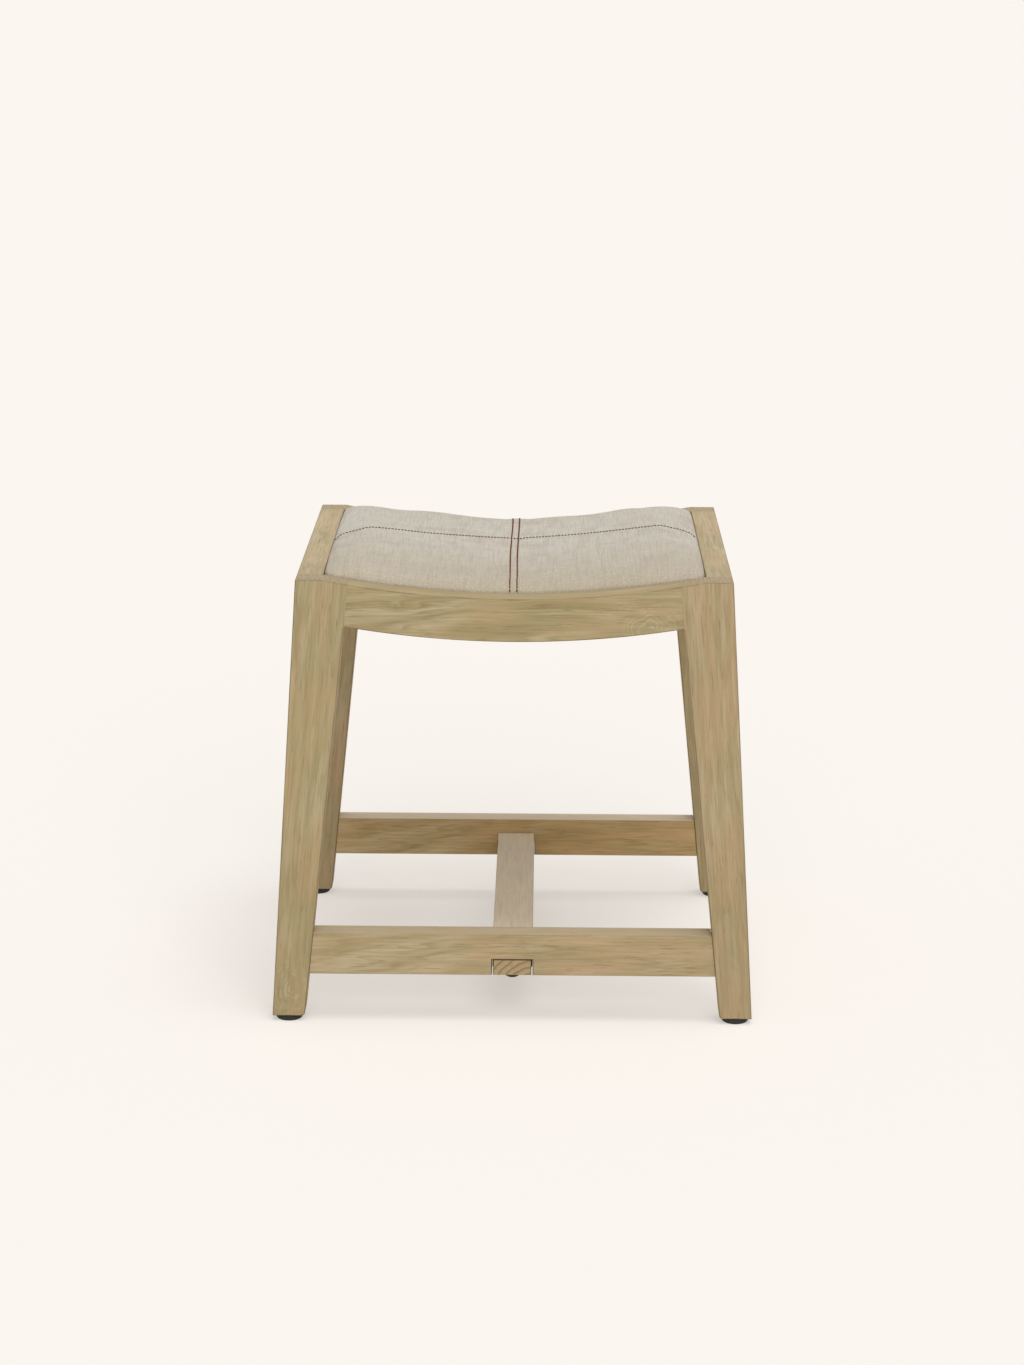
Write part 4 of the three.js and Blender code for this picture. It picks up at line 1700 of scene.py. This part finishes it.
@dataclass
class PaddedSeat:
    """Foam on a bent board under a canvas cover, sewn down the middle and across.

    Attributes:
        half: Half sizes of the cover.
        corner: Radius of its corners.
        crown: Height of the crown over the saddle curve.
        side_roll: How far in the crown takes to rise from the sides.
        end_roll: How far in it takes to rise from the front and the rear.
        seam_dip: Depth of the valley along the middle seam, at the seat's middle.
        seam_reach: Half width of that valley.
        seam_pull: How far from the seam its stitches hold the cloth back.
        still: How far in from the sides, and from the front and the rear, the cloth moves less.
        lumps: Places and heights of the fuller spots of the filling, in millimetres.
        lump: Reach of such a spot.
        foam_edge: Height of the foam at its edge.
        board: Thickness of the board.
        canvas: Thickness of the canvas.
        gap: Room between the canvas and the board.
        turned_under: Width of the canvas that is turned under the board.
        voxel: Size of a cell of the cloth.
        swell: How far below its full height the pad starts.
        travel: How far the cloth may move where it has most slack.
        pressed: How far the foam's walls stand inside the cover, how far below its full height
            the foam starts, and how far under the canvas it stays.
        felled: Where the two rows of the felled seam lie across the stool.
        waver: How far those rows waver from a straight line.
        band: How far the seam's raised band reaches beyond its rows, and its height.
        furrow: Half width and depth of the furrow that a row of the seam lies in.
        cross_furrow: Half width and depth of the one under the row across.
        pucker: How far from the seam the cloth puckers, and how much.
        waves: How much the cloth rises and falls everywhere.
        cross_row: Places of the row across, in millimetres: it droops to the front at its ends.
        staple: Length, width and thickness of a staple.
        staple_in: How far in from the canvas's cut edge the staples sit.
    """

    half: tuple[float, float] = (WELL_X - 0.6 * MM, WELL_Y - 0.6 * MM)
    corner: float = 11 * MM
    crown: float = 24 * MM
    side_roll: float = 49 * MM
    end_roll: float = 88 * MM
    seam_dip: float = 2.8 * MM
    seam_reach: float = 110 * MM
    seam_pull: float = 28 * MM
    still: tuple[float, float] = (80 * MM, 150 * MM)
    lumps: tuple[tuple[float, float, float], ...] = (
        (128, 112, 3.2), (48, 125, 2.2), (-90, 122, 2.2), (-135, 122, -3.0),
    )
    lump: float = 34 * MM
    foam_edge: float = 14 * MM
    board: float = 12 * MM
    canvas: float = 1 * MM
    gap: float = 0.3 * MM
    turned_under: float = 30 * MM
    voxel: float = 4 * MM
    swell: float = 6 * MM
    travel: float = 6 * MM
    pressed: tuple[float, float, float] = (1.6 * MM, 2 * MM, 1 * MM)
    felled: tuple[float, float] = (-4.8 * MM, 2.4 * MM)
    waver: float = 0.6 * MM
    band: tuple[float, float] = (1.8 * MM, 0.45 * MM)
    furrow: tuple[float, float] = (0.7 * MM, 0.6 * MM)
    cross_furrow: tuple[float, float] = (2.2 * MM, 0.3 * MM)
    pucker: tuple[float, float] = (14 * MM, 0.5 * MM)
    waves: float = 0.7 * MM
    cross_row: tuple[tuple[float, float], ...] = (
        (-190, -29), (-178, -23), (-157, -17), (-135, -12.5), (-111, -7.5), (-80, -4), (-50, -3.5),
        (-10, -2), (38, 1), (77, 4.5), (99, 5), (126, 5), (141, 5.5), (153, 6.5), (166, 5),
        (183, -6), (190, -12),
    )
    staple: Size = (10 * MM, 1.2 * MM, 0.7 * MM)
    staple_in: float = 7 * MM

    def build(self) -> None:
        """Make the foam, the cover and its stitches."""
        skin = self._cover()
        surface = BVHTree.FromBMesh(skin)
        foam = self._foam(surface)
        filling = mesh_of(foam, "foam_core")
        core = own_piece("foam_core", filling, UpholsteryFoam().build())
        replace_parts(core, "seat_foam")
        canvas = WashedCanvas().build()
        cover = own_piece("canvas_cover", mesh_of(skin, "canvas_cover", 60.0), canvas)
        wall = cover.modifiers.new("cloth_thickness", "SOLIDIFY")
        wall.thickness = self.canvas * 0.8
        wall.offset = -1.0
        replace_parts(cover, "seat_cover")
        self._stitches(surface)
        self._staples(surface)

    def _foam(self, surface: BVHTree) -> bmesh.types.BMesh:
        """Make the foam, and press it in wherever it would touch the canvas.

        Args:
            surface: The canvas.

        Returns:
            The foam.
        """
        inset, drop, more = self.pressed
        foam = self._blank(inset, drop, lambda x: saddle(x) - self.foam_edge + self.gap)
        room = self.canvas + more
        for vert in foam.verts:
            above = below(surface, vert.co.x, vert.co.y)[0]
            if above is not None and vert.co.z > saddle(vert.co.x) - 1 * MM:
                vert.co.z = min(vert.co.z, above.z - room)
            nearest, normal, _, _ = surface.find_nearest(vert.co)
            depth = (nearest - vert.co).dot(normal)
            if depth < room:
                vert.co -= normal * (room - depth)
        return foam

    def _rise(self, x: float, y: float, inset: float) -> float:
        """Give the crown's height over the saddle curve: quarter ellipses, with a valley between.

        Args:
            x: The place, left to right.
            y: The place, front to rear.
            inset: How far the pad's walls stand inside the cover.

        Returns:
            The height.
        """
        half_x, half_y = (size - inset for size in self.half)
        valley = max(0.0, 1 - abs(x - sum(self.felled) / 2) / self.seam_reach)
        height = self.crown - valley * self.seam_dip * (1 + 1.2 * abs(y) / half_y)
        for lump_x, lump_y, more in self.lumps:
            away = math.hypot(x - lump_x * MM, y - lump_y * MM) / self.lump
            height += more * MM * math.exp(-away * away)
        for away, reach in ((half_x - abs(x), self.side_roll), (half_y - abs(y), self.end_roll)):
            rest = min(1.0, max(0.0, 1 - away / reach))
            height *= math.sqrt(1 - rest * rest)
        return height

    def _slack(self, x: float, y: float) -> float:
        """Give the share of the full swell that the pressure adds at a place.

        Args:
            x: The place, left to right.
            y: The place, front to rear.

        Returns:
            The share, from 0 to 1.
        """
        share = 1 - math.exp(-abs(x - sum(self.felled) / 2) / self.seam_pull)
        for away, reach in zip((self.half[0] - abs(x), self.half[1] - abs(y)), self.still):
            t = min(1.0, max(0.0, away / reach))
            share *= t * t * (3 - 2 * t)
        return share

    def _underside(self, x: float) -> float:
        """Give the height of the canvas under the board."""
        return saddle(x) - self.foam_edge - self.board - self.canvas - self.gap

    def _blank(
        self, inset: float, drop: float, under: Callable[[float], float]
    ) -> bmesh.types.BMesh:
        """Make a closed pad: a crowned top over an underside, with rounded corners.

        Its front and rear walls follow the aprons, which lean outwards below the frame's top.

        Args:
            inset: How far its walls stand inside the cover.
            drop: How far it lies below the full height where the cloth moves most.
            under: Height of its underside at a place across.

        Returns:
            The pad.
        """
        made = bmesh.new()
        bmesh.ops.create_grid(made, x_segments=72, y_segments=64, size=1.0)
        half_x, half_y = (size - inset for size in self.half)
        radius = self.corner - inset
        for vert in made.verts:
            x, y = (math.sin(math.pi / 2 * c) for c in vert.co.xy)
            x, y = x * half_x, y * half_y
            hub = Vector((half_x - radius, half_y - radius))
            out = Vector((abs(x), abs(y))) - hub
            if min(out) > 0 and out.length > radius:
                out = hub + out.normalized() * radius
                x, y = math.copysign(out.x, x), math.copysign(out.y, y)
            flare = 1 + LEAN * (FRAME_HEIGHT - saddle(x)) / half_y
            z = saddle(x) + self._rise(x, y, inset) - drop * self._slack(x, y)
            vert.co = (x, y * flare, z)
        everything = made.verts[:] + made.edges[:] + made.faces[:]
        lower = bmesh.ops.duplicate(made, geom=everything)["geom"]
        for part in lower:
            if isinstance(part, bmesh.types.BMVert):
                part.co.z = under(part.co.x)
        bmesh.ops.bridge_loops(made, edges=[edge for edge in made.edges if edge.is_boundary])
        bmesh.ops.recalc_face_normals(made, faces=made.faces[:])
        return made

    def _cover(self) -> bmesh.types.BMesh:
        """Make the cover: puffed cloth, sewn along its seams and open under the board.

        Returns:
            The cover.
        """
        drop = self.swell
        blank = self._blank(-0.5 * MM, drop, self._underside)
        mesh = mesh_of(blank, "cover_blank")
        pad = bpy.data.objects.new("cover_blank", mesh)
        bpy.context.scene.collection.objects.link(pad)
        remesh = pad.modifiers.new("cells", "REMESH")
        remesh.mode = "VOXEL"
        remesh.voxel_size = self.voxel
        self._apply(pad)
        self._puff(pad)
        smooth = pad.modifiers.new("smooth", "SUBSURF")
        smooth.levels = smooth.render_levels = 1
        self._apply(pad)
        made = bmesh.new()
        made.from_mesh(pad.data)
        bpy.data.objects.remove(pad)
        self._open_underside(made)
        self._sew(made)
        return made

    def _apply(self, pad: bpy.types.Object) -> None:
        """Apply every modifier of the pad.

        Args:
            pad: The pad.
        """
        graph = bpy.context.evaluated_depsgraph_get()
        mesh = bpy.data.meshes.new_from_object(pad.evaluated_get(graph))
        pad.modifiers.clear()
        pad.data = mesh

    def _puff(self, pad: bpy.types.Object) -> None:
        """Blow the cloth up from inside, held at the walls and along the middle seam.

        Args:
            pad: The pad. Its new shape replaces its old one.
        """
        rest = [vert.co.copy() for vert in pad.data.vertices]
        held = pad.vertex_groups.new(name="held")
        seam = sum(self.felled) / 2
        for vert in pad.data.vertices:
            x, y, z = vert.co
            on_wall = z < saddle(x) + 1.5 * MM
            on_seam = abs(x - seam) < self.voxel * 1.2
            if on_wall or on_seam:
                held.add([vert.index], 1.0, "REPLACE")
        settings = pad.modifiers.new("puff", "CLOTH").settings
        for key, value in CLOTH.items():
            setattr(settings, key, value)
        settings.effector_weights.gravity = 0.0
        scene = bpy.context.scene
        for step in range(1, CLOTH_STEPS + 1):
            scene.frame_set(step)
        self._apply(pad)
        scene.frame_set(1)
        moved = 0.0
        for vert, start in zip(pad.data.vertices, rest):
            move = vert.co - start
            moved = max(moved, move.length)
            most = self.travel * min(1.0, 0.08 + self._slack(start.x, start.y))
            if move.length > most:
                vert.co = start + move.normalized() * most
        LOG.info("cloth moved up to %.1f mm", moved / MM)

    def _open_underside(self, made: bmesh.types.BMesh) -> None:
        """Cut the canvas away under the board, except for the margin that is turned under.

        Args:
            made: The cover.
        """
        edge_x, edge_y = (size - self.turned_under for size in self.half)
        for point, normal in (
            ((edge_x, 0, 0), RIGHT),
            ((-edge_x, 0, 0), RIGHT),
            ((0, edge_y, 0), BACK),
            ((0, -edge_y, 0), BACK),
        ):
            lower = [face for face in made.faces if face.normal.z < -0.7]
            cut_across(made, lower, point, normal)
        inner = []
        for face in made.faces:
            middle = face.calc_center_median()
            inside = abs(middle.x) < edge_x and abs(middle.y) < edge_y
            if inside and face.normal.z < -0.7:
                inner.append(face)
        bmesh.ops.delete(made, geom=inner, context="FACES")

    def _sew(self, made: bmesh.types.BMesh) -> None:
        """Raise the felled seam's band, sink its two rows and the cross row, and pucker the cloth.

        Args:
            made: The cover.
        """
        left, right = self.felled
        row, foot, flat = 0.8 * MM, 1.4 * MM, 2.2 * MM
        cuts = [left + away for away in (-flat, -foot, -row, 0.0, row)]
        cuts += [right + away for away in (-row, 0.0, row, foot, flat)]
        for x in cuts:
            top = [face for face in made.faces if face.normal.z > 0.1]
            cut_across(made, top, (x, 0.0, 0.0), RIGHT)
        made.normal_update()
        for vert in made.verts:
            if vert.normal.z > 0.1:
                vert.co.z += self._relief(vert.co.x, vert.co.y) * min(1.0, vert.normal.z * 2)
        made.normal_update()

    def _relief(self, x: float, y: float) -> float:
        """Give the height of the sewing and of the cloth's own waves at a place on the top.

        Args:
            x: The place, left to right.
            y: The place, front to rear.

        Returns:
            The height.
        """
        left, right = self.felled
        middle = (left + right) / 2
        (beyond, rise), (reach, tuck) = self.band, self.pucker
        (width, depth), (cross_width, cross_depth) = self.furrow, self.cross_furrow
        raised = rise if abs(x - middle) < (right - left) / 2 + beyond else 0.0
        rows = sum(math.exp(-(((x - row) / width) ** 2)) for row in self.felled)
        across = math.exp(-(((y - self._cross_at(x)) / cross_width) ** 2))
        pull = noise.noise(Vector((x * 30, y * 160, 1.0)))
        near = math.exp(-(((x - middle) / reach) ** 2))
        soft = noise.noise(Vector((x * 16, y * 13, 5.0)))
        sunk = rows * depth + across * cross_depth
        return raised - sunk + pull * near * tuck + soft * self.waves

    def _stitches(self, surface: BVHTree) -> None:
        """Sew two heavy rows down the middle and a lighter zigzag row across.

        Args:
            surface: The canvas.
        """
        reach_y = self.half[1] + LEAN * SADDLE_SAG
        thread = SewingThread().build()
        for side, x in zip(("left", "right"), self.felled):
            places = stations(-1, 1, 700)
            path = [(x + self.waver * math.sin(t * 3.6), reach_y * t) for t in places]
            row = StitchRow(path, pitch=4.0 * MM, length=4.2 * MM, width=1.7 * MM)
            name = f"topstitch_{side}"
            own_piece(name, mesh_of(row.sew(surface), name), thread)
        reach_x = self.half[0]
        path = [(reach_x * t, self._cross_at(reach_x * t)) for t in stations(-0.99, 0.99, 900)]
        row = StitchRow(path, pitch=3.3 * MM, length=3.6 * MM, width=1.4 * MM, swing=1.7 * MM)
        own_piece("cross_stitch", mesh_of(row.sew(surface), "cross_stitch"), thread)

    def _cross_at(self, x: float) -> float:
        """Follow the row across, straight from each of its points to the next.

        Args:
            x: The place, left to right.

        Returns:
            The row's place there, front to rear.
        """
        for (x0, y0), (x1, y1) in zip(self.cross_row, self.cross_row[1:]):
            if x <= x1 * MM:
                t = min(1.0, max(0.0, (x / MM - x0) / (x1 - x0)))
                return (y0 + (y1 - y0) * t) * MM
        return self.cross_row[-1][1] * MM

    def _staples(self, surface: BVHTree) -> None:
        """Staple the turned-under canvas to the board along its four sides.

        Args:
            surface: The canvas.
        """
        inset = self.turned_under - self.staple_in
        edge_x, edge_y = (size - inset for size in self.half)
        made = bmesh.new()
        spots = []
        for t in stations(-0.86, 0.86, 12):
            spots += [(edge_x * t, side * edge_y, 0.0) for side in (-1, 1)]
            spots += [(side * edge_x, edge_y * t, math.pi / 2) for side in (-1, 1)]
        for x, y, turn in spots:
            hit = surface.ray_cast(Vector((x, y, FAR_BELOW)), Vector(UP))[0]
            if hit is None:
                continue
            staple = bmesh.ops.create_cube(made, size=1.0)["verts"]
            bmesh.ops.scale(made, vec=self.staple, verts=staple)
            skew = Matrix.Rotation(turn + 0.12 * math.sin(x * 900 + y * 700), 4, "Z")
            place = Matrix.Translation(hit - Vector((0, 0, 0.25 * MM)))
            bmesh.ops.transform(made, matrix=place @ skew, verts=staple)
            edges = list({edge for vert in staple for edge in vert.link_edges})
            bmesh.ops.bevel(
                made,
                geom=edges,
                offset=0.25 * MM,
                segments=2,
                profile=0.5,
                affect="EDGES",
                material=-1,
            )
        mesh = mesh_of(made, "cover_staples")
        own_piece("cover_staples", mesh, BRIGHT_ZINC.build())


def stations(start: float, end: float, count: int) -> list[float]:
    """Space numbers evenly from a start to an end.

    Args:
        start: The first.
        end: The last.
        count: How many there are.

    Returns:
        The numbers.
    """
    return [start + (end - start) * i / (count - 1) for i in range(count)]


@dataclass
class StitchRow:
    """A row of stitches that lie on the cloth, each a spindle of thread pressed into it.

    Attributes:
        path: The row's places in plan.
        pitch: Distance from one stitch to the next.
        length: Length of a stitch.
        width: Thickness of the thread.
        swing: How far a zigzag stitch swings to each side.
    """

    path: list[tuple[float, float]]
    pitch: float
    length: float
    width: float
    swing: float = 0.0

    def sew(self, surface: BVHTree) -> bmesh.types.BMesh:
        """Lay the stitches on the cloth.

        Args:
            surface: The cloth.

        Returns:
            All of them as one bmesh.
        """
        made = bmesh.new()
        last, count = None, 0
        for x, y in self.path:
            hit, normal = below(surface, x, y)
            if hit is None or normal.z < 0.12:
                continue
            if last is None:
                last = hit
                continue
            step = hit - last
            if step.length < self.pitch:
                continue
            along = step.normalized()
            side = normal.cross(along).normalized()
            if self.swing:
                turned = 1 if count % 2 else -1
                along = (along * self.pitch + side * turned * 2 * self.swing).normalized()
                side = normal.cross(along).normalized()
            up = along.cross(side)
            basis = Matrix((along, side, up)).transposed().to_4x4()
            size = Matrix.Diagonal((self.length / 2, self.width / 2, self.width / 2, 1.0))
            middle = Matrix.Translation((hit + last) / 2 + up * self.width * 0.2)
            matrix = middle @ basis @ size
            bmesh.ops.create_uvsphere(made, u_segments=6, v_segments=6, radius=1.0, matrix=matrix)
            last, count = hit, count + 1
        return made


# The light, the camera and the floor


@dataclass(frozen=True)
class Lamp:
    """A wide soft lamp.

    Attributes:
        name: Its name.
        height: Its angle above the horizon, in degrees.
        side: Its angle to the right of the stool's front, in degrees.
        softness: The angle that it spans, in degrees.
        share: How much of the floor's light it gives.
    """

    name: str
    height: float
    side: float
    softness: float
    share: float

    def build(self) -> None:
        """Hang the lamp."""
        height, side = math.radians(self.height), math.radians(self.side)
        data = bpy.data.lights.new(self.name, "SUN")
        data.energy = self.share * math.pi / math.sin(height)
        data.angle = math.radians(self.softness)
        level = math.cos(height)
        toward = Vector((level * math.sin(side), -level * math.cos(side), math.sin(height)))
        lamp = bpy.data.objects.new(self.name, data)
        lamp.matrix_world = toward.to_track_quat("Z", "Y").to_matrix().to_4x4()
        bpy.context.scene.collection.objects.link(lamp)


@dataclass
class Studio:
    """The camera, the lights and the pale floor.

    Attributes:
        place: Where the camera stands.
        pitch: How far it looks down, in degrees.
        yaw: How far it looks to the right.
        roll: How far it leans.
        lens: Its focal length in millimetres, on a 36 mm long side.
        paper: Colour of the floor and of the background.
        thrown_back: Colour of the light that the floor throws back.
        sky: Radiance of the light that comes from all round.
        lamps: The lamps.
        shadow: How much of the real depth the shadow on the paper has.
        reach: Half the width of the floor.
    """

    place: Size = (0.028789, -3.131909, 1.124204)
    pitch: float = 14.688
    yaw: float = -0.595
    roll: float = -0.264
    lens: float = 80.1
    paper: str = "#FBF6F0"
    thrown_back: str = "#DCD9D5"
    sky: float = 0.37
    lamps: tuple[Lamp, ...] = (Lamp("overhead", 80, 60, 35, 0.42), Lamp("front", 40, 8, 45, 0.21))
    shadow: float = 0.53
    reach: float = 60.0

    def build(self) -> None:
        """Make everything that stands round the stool."""
        self._camera()
        self._sky()
        for lamp in self.lamps:
            lamp.build()
        self._floor()
        bpy.context.scene.view_settings.view_transform = "Standard"

    def _camera(self) -> None:
        """Stand the camera at the photograph's place and angle."""
        pitch, yaw, roll = (math.radians(a) for a in (self.pitch, self.yaw, self.roll))
        ahead = Vector(
            (math.sin(yaw) * math.cos(pitch), math.cos(yaw) * math.cos(pitch), -math.sin(pitch))
        )
        level = Vector((math.cos(yaw), -math.sin(yaw), 0.0))
        down = ahead.cross(level)
        right = level * math.cos(roll) + down * math.sin(roll)
        low = down * math.cos(roll) - level * math.sin(roll)
        data = bpy.data.cameras.new("camera")
        data.lens = self.lens
        data.sensor_width = 36.0
        data.clip_end = 200.0
        camera = bpy.data.objects.new("camera", data)
        turn = Matrix((right, -low, -ahead)).transposed().to_4x4()
        camera.matrix_world = Matrix.Translation(self.place) @ turn
        bpy.context.scene.collection.objects.link(camera)
        bpy.context.scene.camera = camera

    def _sky(self) -> None:
        """Light from all round, which looks like the paper where it is seen or mirrored."""
        world = bpy.data.worlds.new("soft_studio")
        bpy.context.scene.world = world
        world.use_nodes = True
        tree = world.node_tree
        tree.nodes.clear()
        light = add(tree, "Background", [(1.0, 1.0, 1.0, 1.0), self.sky])
        paper = add(tree, "Background", [linear(self.paper), 1.0])
        seen = self._seen(tree)
        add(tree, "OutputWorld", [add(tree, "MixShader", [seen, light, paper])])

    def _seen(self, tree: bpy.types.NodeTree) -> bpy.types.Node:
        """Tell the rays that show a thing, directly or in a mirror or a glass, from the light.

        Args:
            tree: The nodes of the material or of the sky.

        Returns:
            The node that gives 1 for such a ray.
        """
        path = add(tree, "LightPath").outputs
        direct = [path["Is Camera Ray"], path["Is Glossy Ray"]]
        seen = add(tree, "Math", direct, operation="MAXIMUM")
        return add(tree, "Math", [seen, path["Is Transmission Ray"]], operation="MAXIMUM")

    def _floor(self) -> None:
        """Lay a wide sheet of pale paper under the stool."""
        made = bmesh.new()
        bmesh.ops.create_grid(made, x_segments=1, y_segments=1, size=self.reach)
        mesh = bpy.data.meshes.new("floor")
        made.to_mesh(mesh)
        made.free()
        mesh.materials.append(self._paper())
        floor = bpy.data.objects.new("floor", mesh)
        bpy.context.scene.collection.objects.link(floor)

    def _paper(self) -> bpy.types.Material:
        """Make matt studio paper, which throws back a plainer light than it shows.

        Returns:
            The paper, with its shadow lightened.
        """
        material = bpy.data.materials.new("matt_studio_paper")
        material.use_nodes = True
        tree = material.node_tree
        tree.nodes.clear()
        shaded = add(tree, "BsdfDiffuse", [linear(self.paper)])
        bright = add(tree, "Emission", [linear(self.paper), 1.0])
        shown = add(tree, "MixShader", [self.shadow, bright, shaded])
        plain = add(tree, "BsdfDiffuse", [linear(self.thrown_back)])
        add(tree, "OutputMaterial", [add(tree, "MixShader", [self._seen(tree), plain, shown])])
        return material


def main() -> None:
    """Build the stool's looks round the frame, piece by piece."""
    logging.basicConfig(level=logging.INFO, format="%(name)s %(message)s")
    Studio().build()
    boards = [*EndFrame("front").boards(), *EndFrame("rear").boards(), *LengthwiseBoards().boards()]
    wooden = [board.node for board in boards]
    for board in boards:
        board.build(wooden)
    SeatSupport().build(wooden)
    Fixings().build()
    PaddedSeat().build()


if __name__ == "__main__":
    main()
